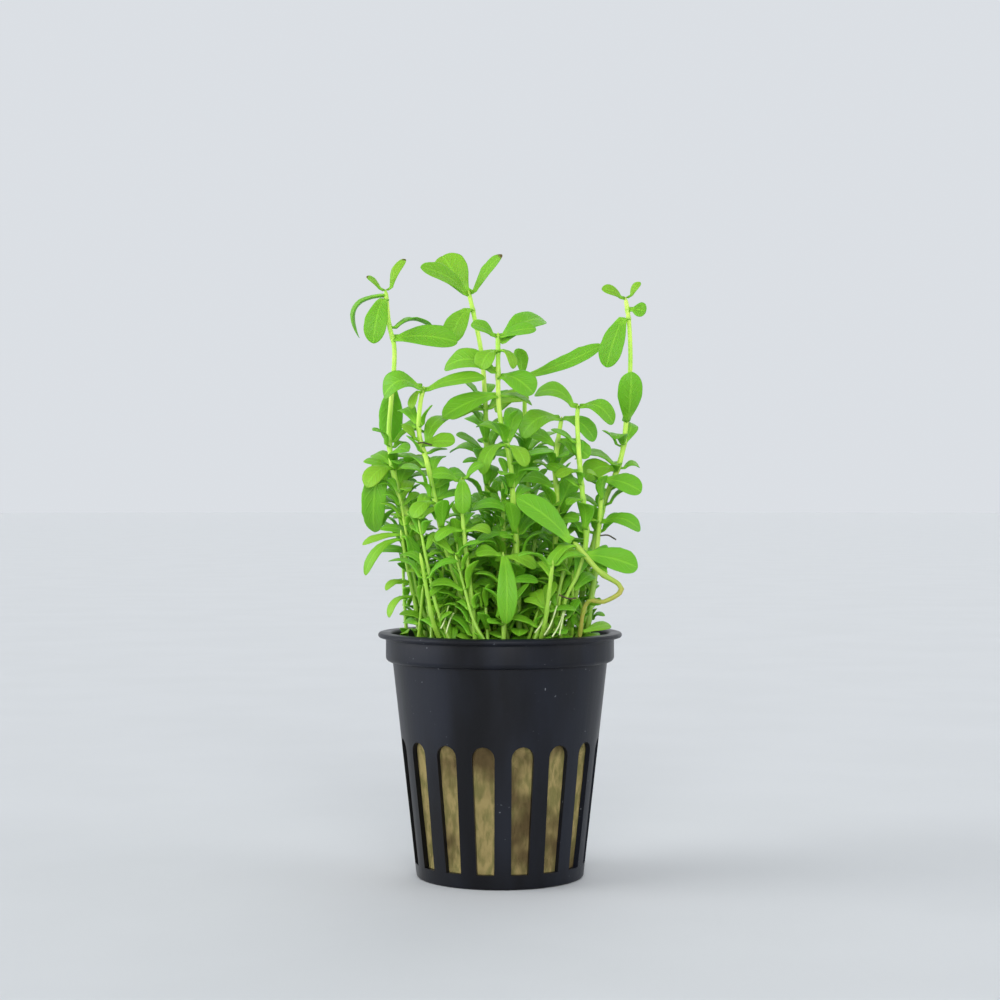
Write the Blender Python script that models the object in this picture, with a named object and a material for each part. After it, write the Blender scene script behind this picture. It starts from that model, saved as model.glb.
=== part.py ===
"""A bunch of bacopa growing in rock wool in a slotted plastic aquarium pot.

Metres, +Z up. The origin is the centre of the pot's flat underside. X runs to the right of the
plant as it is usually seen, Y runs away from the viewer. The tables and the other lengths that
are set here are in millimetres.
"""

import math
import random
from collections import namedtuple

import bmesh
import bpy
from mathutils import Matrix, Vector
from mathutils.bvhtree import BVHTree

MM = 0.001
GAP = 0.3
SMOOTH_ANGLE = math.radians(40)

# The pot, which is the usual 5 cm size.
POT_HEIGHT = 50.0
RIM_RADIUS = 25.0
RIM_EDGE = 0.4
COLLAR_RADIUS = 23.4
COLLAR_HEIGHT = 6.0
COLLAR_EDGE = 0.9
WALL_TOP_RADIUS = 22.0
BASE_RADIUS = 17.1
WALL = 1.0
FLOOR = 1.6
POT_SIDES = 32

# The slots in the wall and in the floor.
SLOT_COUNT = 16
SLOT_TURN = math.radians(13)
SLOT_LOW, SLOT_HIGH = 3.0, 28.6
SLOT_LOW_WIDTH, SLOT_HIGH_WIDTH = 3.5, 4.5
SLOT_CORNER = 0.9
FLOOR_SLOT_COUNT = 8
FLOOR_SLOT_WIDTH = 2.4
FLOOR_SLOT_IN, FLOOR_SLOT_OUT = 6.0, 13.0

# The rock wool, and how the stems stand in it.
WOOL_TOP = 45.0
WOOL_EDGE = 1.6
WOOL_SIDES = 24
FOOT_DEPTH = 7.0
HOLE_CLEARANCE = 0.4
HOLE_SIDES = 5

# The stems.
STEM_FOOT_RADIUS = 0.9
STEM_TIP_RADIUS = 0.55
STEM_SIDES = 5
STEM_STEP = 9.0

# The blades: where their sections lie along them, how thick and how cupped they are.
GROWN_STATIONS = (0.0, 0.22, 0.52, 0.82, 1.0)
FUSED_STATIONS = (0.0, 0.45, 0.83, 1.0)
BLADE_THICKNESS = 0.8
BLADE_CUP = 0.16
BLADE_NECK = 0.34
BLADE_WIDEST = 0.66
BLADE_ROUNDNESS = 0.55
BLADE_THINNING = 0.45
BLADE_BEND = 0.45
START_RISE = 0.8
TURNS = (0, 7, -7, 14, -14, 22, -22, 30, -30, 40, -40, 50, -50, 65, -65)

# The lower pairs of leaves on every stem, and the tufts of side shoots between the stems.
FIRST_PAIR = 5.0
LOWEST_TIP = 48.0
RIM_REACH, RIM_ZONE = 21.0, 64.0
PAIR_STEP = 18.0
PAIR_STEP_SPREAD = (0.85, 1.15)
LOW_LENGTH = 9.6
LOW_WIDTH = 4.7
SIZE_SPREAD = (0.8, 1.1)
LIFT_SPREAD = (-30, 30)
ARCH_SPREAD = (0.08, 0.28)
FACE_SPREAD = (0, 40)
TUFT_FOOT_RADIUS = 0.6
TUFT_TIP_RADIUS = 0.4
TUFT_SIDES = 4
TUFT_SHOOTS = 3
TUFT_TRIES = 12
TUFT_SWING = (-35, 35)
TUFT_REACH = (0.5, 1.1)
TUFT_RISE = (0.65, 1.0)
TUFT_BEND = 0.35
TUFT_PAIR_STEP = 12.5
TUFT_LENGTH = 8.2
TUFT_WIDTH = 3.9

Leaf = namedtuple("Leaf", "height tip width arch face")
Shoot = namedtuple("Shoot", "foot stem leaves young")
Tuft = namedtuple("Tuft", "foot heading height spread")
Stem = namedtuple("Stem", "path foot_radius tip_radius sides")

# A shoot has its foot (x, y) in the wool, points (x, y, z) up the stem to its end, the grown
# leaves and the young ones. A leaf has its height on the stem, the point (x, y, z) of its tip, its
# width, how high it arches as a share of its length, and how many degrees its upper side is turned
# towards the viewer.
SHOOTS = {
    "left_tall": Shoot(
        (-11, -3),
        [(-13, -3.5, 58), (-17, -4, 70), (-21, -4, 80), (-22.6, -3, 89), (-22.2, -3, 97),
         (-21.6, -3, 104), (-21.6, -3, 108.6), (-22.6, -2.5, 112.7), (-23.4, -2.5, 120)],
        [Leaf(118.8, (-28.8, -1.0, 110.2), 4.4, 0.36, 28),
         Leaf(117.8, (-25.6, -7.0, 108.6), 4.8, 0.16, 20),
         Leaf(110.0, (-8.6, -5.0, 109.0), 5.6, 0.10, 55),
         Leaf(112.3, (-14.0, 2.0, 112.4), 3.8, 0.22, 5),
         Leaf(100.0, (-22.6, 3.0, 88.8), 5.0, 0.10, 0)],
        [Leaf(119.6, (-19.4, -1.0, 126.3), 2.3, 0.16, 40),
         Leaf(119.6, (-27.2, -4.0, 122.4), 2.1, 0.08, 45),
         Leaf(83.5, (-27.0, -7.5, 79.6), 4.4, 0.20, 35),
         Leaf(83.5, (-13.6, -6.0, 84.0), 4.6, 0.16, 40)],
    ),
    "left_front": Shoot(
        (-6, -12),
        [(-7, -12.5, 55), (-10.5, -14, 67), (-12.5, -14, 75), (-13.9, -14, 82), (-14.9, -14, 86),
         (-15.9, -14, 89), (-16.1, -14, 93), (-15.7, -14, 97), (-15.1, -14, 99.6)],
        [Leaf(98.8, (-3.0, -15.0, 101.2), 4.2, 0.08, 40),
         Leaf(99.4, (-23.0, -14.5, 97.4), 5.8, 0.42, 45),
         Leaf(88.0, (-8.9, -16.5, 88.4), 4.4, 0.10, 45)],
        [Leaf(98.4, (-17.4, -16.5, 95.0), 2.4, 0.14, 0),
         Leaf(88.6, (-19.4, -15.0, 91.8), 3.2, 0.10, 40),
         Leaf(76.5, (-17.2, -17.0, 73.5), 3.6, 0.16, 30)],
    ),
    "centre_left_tall": Shoot(
        (-2, 4),
        [(-2.2, 4, 60), (-2.6, 4, 75), (-2.8, 4, 90), (-3.4, 4, 103), (-4.1, 4, 109),
         (-5.2, 4, 114.3), (-6.0, 4, 118), (-6.6, 4, 120.5)],
        [Leaf(119.6, (-16.3, -1.0, 124.7), 5.0, 0.12, 55),
         Leaf(119.8, (-12.0, 8.0, 128.0), 6.6, 0.10, 50),
         Leaf(119.6, (0.4, 3.0, 127.8), 3.8, 0.06, 45),
         Leaf(116.4, (-10.2, 1.5, 109.4), 5.2, 0.14, 40)],
        [Leaf(96.0, (6.0, 2.0, 98.0), 4.8, 0.16, 40),
         Leaf(96.0, (-10.5, 3.0, 94.0), 5.0, 0.16, 40)],
    ),
    "centre_front": Shoot(
        (4, -10),
        [(3.6, -10.5, 58), (3.2, -11, 70), (2.6, -11.5, 77), (2.2, -12, 83), (1.4, -12, 88),
         (0.4, -12, 91.5), (-0.3, -12, 97), (-0.4, -12, 108), (-0.4, -12, 110.4)],
        [Leaf(109.6, (-5.8, -13.0, 111.9), 3.8, 0.14, 45),
         Leaf(109.6, (7.2, -13.5, 110.9), 4.0, 0.10, 45),
         Leaf(108.4, (8.9, -7.0, 113.3), 5.4, 0.20, 40),
         Leaf(106.6, (-3.8, -14.6, 102.9), 4.4, 0.20, 30),
         Leaf(102.8, (-11.1, -13.0, 103.4), 6.2, 0.28, 45),
         Leaf(101.6, (6.6, -15.0, 98.0), 5.8, 0.20, 45),
         Leaf(97.8, (-11.4, -14.0, 93.4), 5.4, 0.08, 45)],
        [Leaf(106.8, (2.6, -14.4, 103.0), 2.6, 0.20, 10),
         Leaf(97.8, (6.4, -10.0, 96.0), 3.0, 0.14, 30),
         Leaf(88.0, (-3.4, -15.0, 82.0), 4.0, 0.24, 20),
         Leaf(87.6, (5.0, -15.5, 83.6), 3.6, 0.18, 20)],
    ),
    "right_tall": Shoot(
        (16, 2),
        [(17, 2, 58), (18.8, 2, 66), (20.7, 2.5, 73), (21.7, 3, 77), (24.2, 3, 83.2),
         (25.0, 3, 85.7), (25.6, 3, 88.6), (26.1, 3, 93.5), (26.9, 3, 103.5), (26.9, 3, 110),
         (26.5, 3, 115.3), (25.9, 3, 119)],
        [Leaf(114.4, (21.9, 1.0, 104.3), 5.0, 0.10, 50),
         Leaf(93.0, (26.8, -2.2, 103.2), 5.2, -0.10, 0),
         Leaf(116.4, (30.1, 1.5, 115.8), 3.4, 0.10, 65),
         Leaf(83.4, (17.5, 1.5, 81.4), 5.8, 0.30, 45)],
        [Leaf(118.6, (20.9, 1.0, 120.4), 2.6, 0.14, 60),
         Leaf(118.6, (29.0, 2.5, 122.0), 2.0, 0.10, 55),
         Leaf(83.6, (28.9, 4.0, 83.7), 2.4, 0.32, 30)],
    ),
    "right_front": Shoot(
        (12.5, -6.5),
        [(15.0, -8, 57), (17.3, -9, 69), (16.7, -9, 77), (16.1, -9, 83), (15.7, -9, 89),
         (15.5, -9, 93), (15.7, -9, 96.2)],
        [Leaf(95.8, (22.6, -11.0, 92.2), 4.0, 0.38, 50),
         Leaf(95.8, (7.0, -8.0, 98.2), 5.0, 0.32, 40)],
        [Leaf(82.8, (11.2, -10.5, 81.6), 2.8, 0.14, 40),
         Leaf(77.0, (13.4, -11.5, 76.0), 2.6, 0.16, 20)],
    ),
    "right_centre": Shoot(
        (9, -2),
        [(10.2, -2.5, 60), (11.4, -3, 70), (11.6, -3.5, 78), (11.2, -3.5, 83), (11.8, -3.5, 89),
         (12.6, -3.5, 94)],
        [Leaf(93.6, (4.5, -5.0, 89.8), 5.6, 0.32, 45),
         Leaf(93.6, (19.2, -5.0, 89.0), 4.0, 0.24, 50),
         Leaf(89.0, (18.0, -6.0, 85.6), 4.1, 0.14, 50)],
        [Leaf(83.0, (6.6, -5.0, 84.6), 2.2, 0.16, 20)],
    ),
    "centre_back": Shoot(
        (6, 9),
        [(6.2, 9, 60), (5.8, 9, 75), (5.2, 9, 90), (5.2, 9, 103.4)],
        [Leaf(102.8, (21.4, 8.0, 109.4), 4.0, -0.04, 55)],
        [Leaf(102.8, (3.8, 6.0, 108.6), 3.2, 0.10, 0),
         Leaf(98.6, (-1.0, 8.0, 95.4), 3.6, 0.16, 40)],
    ),
    "left_low": Shoot(
        (-15, 5),
        [(-16, 5, 58), (-18.4, 4.5, 70), (-20.6, 3, 80), (-22.1, 2, 87)],
        [Leaf(86.4, (-25.8, 1.0, 70.4), 5.2, 0.36, 65)],
        [Leaf(86.2, (-27.0, -1.0, 80.9), 4.0, 0.20, 30),
         Leaf(86.2, (-15.8, 4.0, 83.6), 3.6, 0.14, 30),
         Leaf(75.0, (-24.5, 6.0, 71.5), 3.2, 0.20, 0)],
    ),
    "left_edge": Shoot(
        (-15.5, -5.5),
        [(-17, -6.5, 55), (-18.6, -7.5, 63), (-20, -8, 71)],
        [Leaf(69.6, (-17.4, -10.0, 64.2), 3.2, 0.20, 10)],
        [Leaf(69.0, (-27.0, -9.5, 61.9), 2.8, 0.22, 40),
         Leaf(70.0, (-27.8, -7.0, 68.0), 2.4, 0.08, 40),
         Leaf(60.5, (-22.9, -9.0, 58.8), 2.4, 0.20, 20),
         Leaf(57.5, (-22.2, -9.5, 53.4), 2.6, 0.24, 10)],
    ),
    "right_low": Shoot(
        (17.2, -3.5),
        [(18.4, -4, 56), (19.4, -4, 64), (20.2, -4, 72.5), (20.9, -4, 82)],
        [Leaf(81.0, (28.6, -6.0, 78.6), 5.0, 0.14, 50),
         Leaf(72.6, (28.4, -5.5, 70.8), 3.8, 0.28, 45)],
        [Leaf(81.0, (17.6, -6.0, 82.6), 2.8, 0.14, 30),
         Leaf(72.6, (17.6, -7.0, 72.8), 2.4, 0.14, 20)],
    ),
    "right_rim": Shoot(
        (11.5, -13.5),
        [(12.6, -15, 56), (15.2, -15.5, 62), (16.8, -15.5, 66.8)],
        [Leaf(66.0, (27.2, -16.0, 63.6), 5.4, 0.12, 60)],
        [Leaf(66.0, (10.6, -16.5, 66.6), 3.6, 0.12, 50)],
    ),
    "bent_runner": Shoot(
        (15.5, -8.8),
        [(17.0, -12.5, 56), (20.6, -15.5, 56.9), (23.6, -16.8, 58.7), (23.4, -17.2, 60.4),
         (19.6, -18.5, 62.9), (15.6, -18.5, 67.4), (14.4, -18.5, 68.8)],
        [Leaf(69.0, (3.3, -19.5, 77.4), 6.0, 0.10, 55)],
        [Leaf(68.0, (9.6, -20.5, 63.4), 3.4, 0.16, 20),
         Leaf(50.6, (22.4, -5.0, 51.6), 2.6, 0.06, 40)],
    ),
    "front_left": Shoot(
        (-4.5, -16.5),
        [(-5.4, -17, 56), (-6.6, -17, 66), (-7.4, -16.8, 74), (-7.6, -16.5, 81.5)],
        [Leaf(80.8, (-7.3, -20.0, 74.3), 3.4, 0.24, 0)],
        [Leaf(80.8, (-13.4, -17.5, 81.8), 3.8, 0.20, 40),
         Leaf(81.0, (-3.2, -17.5, 84.0), 3.0, 0.16, 40),
         Leaf(71.0, (-12.6, -18.0, 69.0), 3.6, 0.20, 30),
         Leaf(71.0, (-1.8, -18.0, 70.6), 3.4, 0.20, 30)],
    ),
    "front_middle": Shoot(
        (0.6, -17.5),
        [(0.8, -17.8, 54), (0.8, -18, 60), (0.6, -17.6, 66.8)],
        [Leaf(65.8, (1.2, -21.0, 52.8), 4.0, 0.16, 0)],
        [Leaf(65.8, (7.0, -18.5, 63.6), 3.4, 0.16, 40),
         Leaf(66.2, (-4.8, -18.5, 66.4), 3.4, 0.20, 40)],
    ),
}

# A tuft has its foot in the wool, the direction in degrees in which its first shoot leans, the
# height of its shoots, and how far their ends lean out.
TUFTS = {
    "tuft_front_left": Tuft((-10.5, -13), 215, 26, 9),
    "tuft_front_right": Tuft((7, -15), 300, 22, 8),
    "tuft_left": Tuft((-9, 1), 190, 38, 9),
    "tuft_middle": Tuft((2, -3), 270, 36, 8),
    "tuft_right": Tuft((12, 6), 340, 32, 8),
    "tuft_back": Tuft((-6, 13), 130, 36, 10),
}


def vector(x, y, z):
    """A point or an offset given in millimetres."""
    return Vector((x, y, z)) * MM


def clear_scene():
    for found in list(bpy.data.objects):
        bpy.data.objects.remove(found, do_unlink=True)


def material_of(name, colour, roughness):
    """A plain material that isn't metallic."""
    material = bpy.data.materials.new(name)
    material.use_nodes = True
    shader = material.node_tree.nodes["Principled BSDF"]
    shader.inputs["Base Color"].default_value = (*colour, 1.0)
    shader.inputs["Roughness"].default_value = roughness
    shader.inputs["Metallic"].default_value = 0.0
    return material


def add_solid(name, points, faces, material):
    """A closed mesh object at the origin, with its faces turned outwards."""
    mesh = bpy.data.meshes.new(name)
    mesh.from_pydata([tuple(p) for p in points], [], faces)
    shape = bmesh.new()
    shape.from_mesh(mesh)
    bmesh.ops.recalc_face_normals(shape, faces=shape.faces)
    shape.to_mesh(mesh)
    shape.free()
    mesh.shade_smooth()
    mesh.set_sharp_from_angle(angle=SMOOTH_ANGLE)
    solid = bpy.data.objects.new(name, mesh)
    solid.data.materials.append(material)
    bpy.context.scene.collection.objects.link(solid)
    return solid


def make_helper(solid):
    """A cutter, or a shape that is fused to another, is not a piece of its own."""
    solid.hide_render = True
    solid.display_type = "WIRE"
    return solid


def cut(solid, cutter):
    boolean = solid.modifiers.new("cut", "BOOLEAN")
    boolean.operation = "DIFFERENCE"
    boolean.solver = "EXACT"
    boolean.object = make_helper(cutter)


def fuse(solid, others):
    """Makes one solid of this one and of the others, which grow from it."""
    if not others:
        return
    grown = bpy.data.collections.new(f"grown_from_{solid.name}")
    bpy.context.scene.collection.children.link(grown)
    for other in others:
        bpy.context.scene.collection.objects.unlink(other)
        grown.objects.link(make_helper(other))
    boolean = solid.modifiers.new("grow together", "BOOLEAN")
    boolean.operation = "UNION"
    boolean.solver = "EXACT"
    boolean.operand_type = "COLLECTION"
    boolean.collection = grown
    boolean.use_self = True


def skin(rings, tip=None):
    """Faces between rings of the same number of points, closed by flat ends or by a last tip."""
    sides = len(rings[0])
    points = [point for ring in rings for point in ring]
    faces = [list(range(sides))]
    last = len(points) - sides
    for low in range(0, last, sides):
        for k in range(sides):
            after = (k + 1) % sides
            faces.append([low + k, low + after, low + sides + after, low + sides + k])
    if tip is None:
        faces.append(list(range(last, last + sides)))
    else:
        faces += [[last + k, last + (k + 1) % sides, last + sides] for k in range(sides)]
        points.append(tip)
    return points, faces


def circle(x, y, radius, height, sides):
    angles = [math.tau * k / sides for k in range(sides)]
    return [vector(x + radius * math.cos(a), y + radius * math.sin(a), height) for a in angles]


def turned(profile, sides, x=0.0, y=0.0):
    """A profile of (radius, height) turned about an upright axis, with flat ends."""
    return skin([circle(x, y, radius, height, sides) for radius, height in profile])


def gather(shapes):
    """Several shapes as one list of points and one of faces."""
    points, faces = [], []
    for shape_points, shape_faces in shapes:
        start = len(points)
        points += shape_points
        faces += [[start + i for i in face] for face in shape_faces]
    return points, faces


def wall_radius(height):
    """The outer radius of the tapered wall at this height."""
    return BASE_RADIUS + (WALL_TOP_RADIUS - BASE_RADIUS) * height / (POT_HEIGHT - COLLAR_HEIGHT)


def pot_profile():
    """From the top of the floor up the inside, over the rim and down the outside."""
    collar_foot = POT_HEIGHT - COLLAR_HEIGHT
    collar_inside = COLLAR_RADIUS - WALL
    lip_foot = POT_HEIGHT - 3 * RIM_EDGE
    return [
        (wall_radius(FLOOR) - WALL, FLOOR),
        (wall_radius(collar_foot) - WALL, collar_foot),
        (collar_inside, collar_foot + WALL),
        (collar_inside, POT_HEIGHT),
        (RIM_RADIUS - RIM_EDGE, POT_HEIGHT),
        (RIM_RADIUS, POT_HEIGHT - RIM_EDGE),
        (RIM_RADIUS, POT_HEIGHT - 2 * RIM_EDGE),
        (COLLAR_RADIUS, lip_foot),
        (COLLAR_RADIUS, collar_foot + COLLAR_EDGE),
        (COLLAR_RADIUS - COLLAR_EDGE, collar_foot),
        (WALL_TOP_RADIUS, collar_foot),
        (BASE_RADIUS, 0),
    ]


def prism(outline, near, far, turn):
    """An outline of (across, height) pushed outwards from radius near to far, turned about Z."""
    rotation = Matrix.Rotation(turn, 3, "Z")
    return skin([[rotation @ vector(r, a, h) for a, h in outline] for r in (near, far)])


def slots_around(outline, near, far, count):
    turns = [SLOT_TURN + math.tau * k / count for k in range(count)]
    return [prism(outline, near, far, turn) for turn in turns]


def wall_slots():
    """Upright slots that widen upwards and have their upper corners cut off."""
    low, high = SLOT_LOW_WIDTH / 2, SLOT_HIGH_WIDTH / 2
    outline = [
        (-low, SLOT_LOW),
        (low, SLOT_LOW),
        (high, SLOT_HIGH - SLOT_CORNER),
        (high - SLOT_CORNER, SLOT_HIGH),
        (SLOT_CORNER - high, SLOT_HIGH),
        (-high, SLOT_HIGH - SLOT_CORNER),
    ]
    return slots_around(outline, BASE_RADIUS - 3 * WALL, RIM_RADIUS, SLOT_COUNT)


def floor_slots():
    """Spokes of open floor round the solid middle."""
    half = FLOOR_SLOT_WIDTH / 2
    outline = [(-half, -FLOOR), (half, -FLOOR), (half, 2 * FLOOR), (-half, 2 * FLOOR)]
    return slots_around(outline, FLOOR_SLOT_IN, FLOOR_SLOT_OUT, FLOOR_SLOT_COUNT)


def make_pot(material):
    pot = add_solid("pot", *turned(pot_profile(), POT_SIDES), material)
    cut(pot, add_solid("slots", *gather(wall_slots() + floor_slots()), material))


def make_wool(feet, material):
    """The plug of rock wool, with a hole for the foot of each stem."""
    low = FLOOR + GAP
    clear = WALL + GAP
    profile = [
        (wall_radius(WOOL_TOP) - clear - WOOL_EDGE, WOOL_TOP),
        (wall_radius(WOOL_TOP - WOOL_EDGE) - clear, WOOL_TOP - WOOL_EDGE),
        (wall_radius(low) - clear, low),
    ]
    wool = add_solid("rock_wool", *turned(profile, WOOL_SIDES), material)
    bottom = WOOL_TOP - FOOT_DEPTH - GAP
    holes = []
    for (x, y), radius in feet:
        hole = radius + HOLE_CLEARANCE
        holes.append(turned([(hole, bottom), (hole, POT_HEIGHT)], HOLE_SIDES, x, y))
    cut(wool, add_solid("planting_holes", *gather(holes), material))


def smooth_path(points, step):
    """Points along a smooth curve through these ones, about a step apart."""
    ends = [points[0] * 2 - points[1], *points, points[-1] * 2 - points[-2]]
    path = [points[0]]
    for before, start, end, after in zip(ends, ends[1:], ends[2:], ends[3:]):
        pieces = max(1, round((end - start).length / step))
        for k in range(1, pieces + 1):
            t = k / pieces
            bend = (2 * before - 5 * start + 4 * end - after) * t * t
            twist = (3 * start - before - 3 * end + after) * t ** 3
            path.append((2 * start + (end - before) * t + bend + twist) / 2)
    return path


def rooted_path(foot, points):
    """From the bottom of its hole straight up to the wool's surface, then through the points."""
    x, y = foot
    bottom = vector(x, y, WOOL_TOP - FOOT_DEPTH)
    above = [vector(x, y, WOOL_TOP), *(vector(*point) for point in points)]
    return [bottom, *smooth_path(above, STEM_STEP * MM)]


def radius_along(stem, i):
    """The radius of a stem at point i of its path, in metres."""
    share = i / (len(stem.path) - 1)
    return (stem.foot_radius + (stem.tip_radius - stem.foot_radius) * share) * MM


def tube(stem):
    """A closed tube along a stem's path, tapered from its foot to its tip."""
    path = stem.path
    angles = [math.tau * k / stem.sides for k in range(stem.sides)]
    rings = []
    across = Vector((0, -1, 0))
    last = len(path) - 1
    for i, centre in enumerate(path):
        along = (path[min(i + 1, last)] - path[max(i - 1, 0)]).normalized()
        across = (across - along * across.dot(along)).normalized()
        other = along.cross(across)
        radius = radius_along(stem, i)
        rings.append([centre + (across * math.cos(a) + other * math.sin(a)) * radius for a in angles])
    return skin(rings)


def place_on(stem, height):
    """The last point of a stem's path at this height in millimetres, and the radius there."""
    last = len(stem.path) - 1
    for i in range(last, 0, -1):
        low, high = stem.path[i - 1], stem.path[i]
        if low.z <= height * MM <= high.z:
            return low.lerp(high, (height * MM - low.z) / (high.z - low.z)), radius_along(stem, i)
    return stem.path[-1], radius_along(stem, last)


def half_width_at(t):
    """Half the width of a blade at t along it, as a share of its widest: a neck, then a spoon."""
    rise = BLADE_WIDEST / (1 - BLADE_WIDEST)
    spoon = (t / BLADE_WIDEST) ** rise * (1 - t) / (1 - BLADE_WIDEST)
    return min(1.0, spoon ** BLADE_ROUNDNESS + BLADE_NECK * (1 - t) ** 3)


def level(direction):
    """The horizontal part of a direction, at length 1."""
    return Vector((direction.x, direction.y, 0)).normalized()


def upper_side(reach, face):
    """The direction in which the upper side of a leaf looks, if it reaches this way."""
    along = reach.normalized()
    lift = math.asin(max(-1.0, min(1.0, along.z)))
    upward = Vector((0, 0, math.cos(lift))) - level(reach) * math.sin(lift)
    sideways = along.cross(upward)
    if sideways.y > 0:
        sideways = -sideways
    turn = math.radians(face)
    return upward * math.cos(turn) + sideways * math.sin(turn)


def section(centre, across, normal, half, thick, whole):
    """One section of a blade: a lens whose edges are lifted, or without its upper ridge."""
    edge = normal * (BLADE_CUP * half)
    corners = [centre + across * half + edge, centre - across * half + edge, centre - normal * thick]
    if whole:
        corners.insert(1, centre + normal * thick)
    return corners


def blade(start, tip, leaf, stations, root=None, clearance=0.0):
    """A closed blade from start to tip. With a root, a neck joins it to that point."""
    whole = stations == GROWN_STATIONS
    reach = tip - start
    upward = upper_side(reach, leaf.face)
    across = reach.normalized().cross(upward)
    bend = start + reach * BLADE_BEND + upward * (2 * leaf.arch * reach.length)
    rings = []
    for t in stations[:-1]:
        centre = start * (1 - t) ** 2 + bend * (2 * t * (1 - t)) + tip * t * t
        along = ((bend - start) * (1 - t) + (tip - bend) * t).normalized()
        half = (half_width_at(t) * leaf.width / 2 + clearance) * MM
        thick = (BLADE_THICKNESS * (1 - BLADE_THINNING * t) / 2 + clearance) * MM
        rings.append(section(centre, across, across.cross(along), half, thick, whole))
    if root:
        rings.insert(0, [corner + root - start for corner in rings[0]])
    return skin(rings, tip)


def tree_of(shape):
    points, faces = shape
    return BVHTree.FromPolygons(points, faces)


def is_clear(shape, taken):
    tree = tree_of(shape)
    return not any(tree.overlap(other) for other in taken)


def find_room(axis, radius, leaf, stations, taken):
    """Turns a leaf about its stem, as little as it takes to keep it off its neighbours.

    It returns where the blade starts beside the stem and where its tip is, or None.
    """
    for turn in TURNS:
        reach = Matrix.Rotation(math.radians(turn), 3, "Z") @ (vector(*leaf.tip) - axis)
        rise = max(0.0, reach.normalized().z) * START_RISE
        outward = level(reach) + Vector((0, 0, rise))
        start = axis + outward * (radius + (GAP + BLADE_THICKNESS / 2) * MM)
        tip = axis + reach
        if is_clear(blade(start, tip, leaf, stations, clearance=GAP / 2), taken):
            return start, tip
    return None


def make_leaves(name, stem, leaves, taken, material):
    """Each grown leaf of a shoot as a piece of its own."""
    for i, leaf in enumerate(leaves, 1):
        room = find_room(*place_on(stem, leaf.height), leaf, GROWN_STATIONS, taken)
        if room is None:
            raise ValueError(f"leaf {i} of {name} has no room")
        shape = blade(*room, leaf, GROWN_STATIONS)
        taken.append(tree_of(shape))
        add_solid(f"{name}_leaf_{i}", *shape, material)


def grow_blades(name, stem, leaves, taken, material):
    """Small blades to fuse to a stem, each with its neck in it. One without room is left out."""
    grown = []
    for leaf in leaves:
        axis, radius = place_on(stem, leaf.height)
        room = find_room(axis, radius, leaf, FUSED_STATIONS, taken)
        if room:
            shape = blade(*room, leaf, FUSED_STATIONS, root=axis)
            taken.append(tree_of(shape))
            grown.append(add_solid(f"{name}_grown_{len(grown)}", *shape, material))
    return grown


def pairs_up(stem, low, high, step, size, random_one):
    """Opposite leaves at each step up a stem from low to high, each pair across the one below.

    A leaf that would hang over the rim of the pot is left out.
    """
    length, width = size
    azimuth = random_one.uniform(0, math.tau)
    leaves = []
    height = low
    while height < high:
        axis = place_on(stem, height)[0] / MM
        for side in (0, math.pi):
            scale = random_one.uniform(*SIZE_SPREAD)
            lift = math.radians(random_one.uniform(*LIFT_SPREAD))
            out = length * scale * math.cos(lift)
            rise = max(length * scale * math.sin(lift), LOWEST_TIP - height)
            tip = axis + Vector((out * math.cos(azimuth + side), out * math.sin(azimuth + side), rise))
            arch, face = random_one.uniform(*ARCH_SPREAD), random_one.uniform(*FACE_SPREAD)
            if tip.z > RIM_ZONE or math.hypot(tip.x, tip.y) < RIM_REACH:
                leaves.append(Leaf(height, tuple(tip), width * scale, arch, face))
        azimuth += math.pi / 2
        height += step * random_one.uniform(*PAIR_STEP_SPREAD)
    return leaves


def lower_pairs(name, stem, shoot):
    """The pairs between the wool and the lowest leaf that the table gives."""
    lowest = min(leaf.height for leaf in shoot.leaves + shoot.young)
    size = LOW_LENGTH, LOW_WIDTH
    return pairs_up(stem, WOOL_TOP + FIRST_PAIR, lowest - PAIR_STEP / 2, PAIR_STEP, size, random.Random(name))


def side_shoot(tuft, k, random_one):
    """A stem that leans out from the tuft's foot, a third of a turn from the one before."""
    angle = math.radians(tuft.heading + 360 * k / TUFT_SHOOTS + random_one.uniform(*TUFT_SWING))
    out = tuft.spread * random_one.uniform(*TUFT_REACH)
    rise = tuft.height * random_one.uniform(*TUFT_RISE)
    x, y = tuft.foot
    along, aside = out * math.cos(angle), out * math.sin(angle)
    middle = (x + along / 2, y + aside / 2, WOOL_TOP + rise * TUFT_BEND)
    path = rooted_path(tuft.foot, [middle, (x + along, y + aside, WOOL_TOP + rise)])
    return Stem(path, TUFT_FOOT_RADIUS, TUFT_TIP_RADIUS, TUFT_SIDES)


def side_shoots(tuft, taken, random_one):
    """The stems of a tuft. Each is tried until it is clear of what stands already."""
    stems = []
    for k in range(TUFT_SHOOTS):
        for _ in range(TUFT_TRIES):
            stem = side_shoot(tuft, k, random_one)
            wider = stem._replace(foot_radius=TUFT_FOOT_RADIUS + GAP, tip_radius=TUFT_TIP_RADIUS + GAP)
            if is_clear(tube(wider), taken):
                stems.append(stem)
                break
    return stems


def make_tuft(name, tuft, taken, materials):
    """Side shoots with small leaves that grow from one foot, all one piece."""
    random_one = random.Random(name)
    stems = side_shoots(tuft, taken, random_one)
    taken += [tree_of(tube(stem)) for stem in stems]
    shoots = [
        add_solid(f"{name}_shoot_{k}", *tube(stem), materials["stem"]) for k, stem in enumerate(stems)
    ]
    shoots[0].name = name
    grown = shoots[1:]
    size = TUFT_LENGTH, TUFT_WIDTH
    for k, stem in enumerate(stems):
        top = stem.path[-1].z / MM
        leaves = pairs_up(stem, WOOL_TOP + FIRST_PAIR, top, TUFT_PAIR_STEP, size, random_one)
        grown += grow_blades(f"{name}_{k}", stem, leaves, taken, materials["leaf"])
    fuse(shoots[0], grown)


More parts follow.
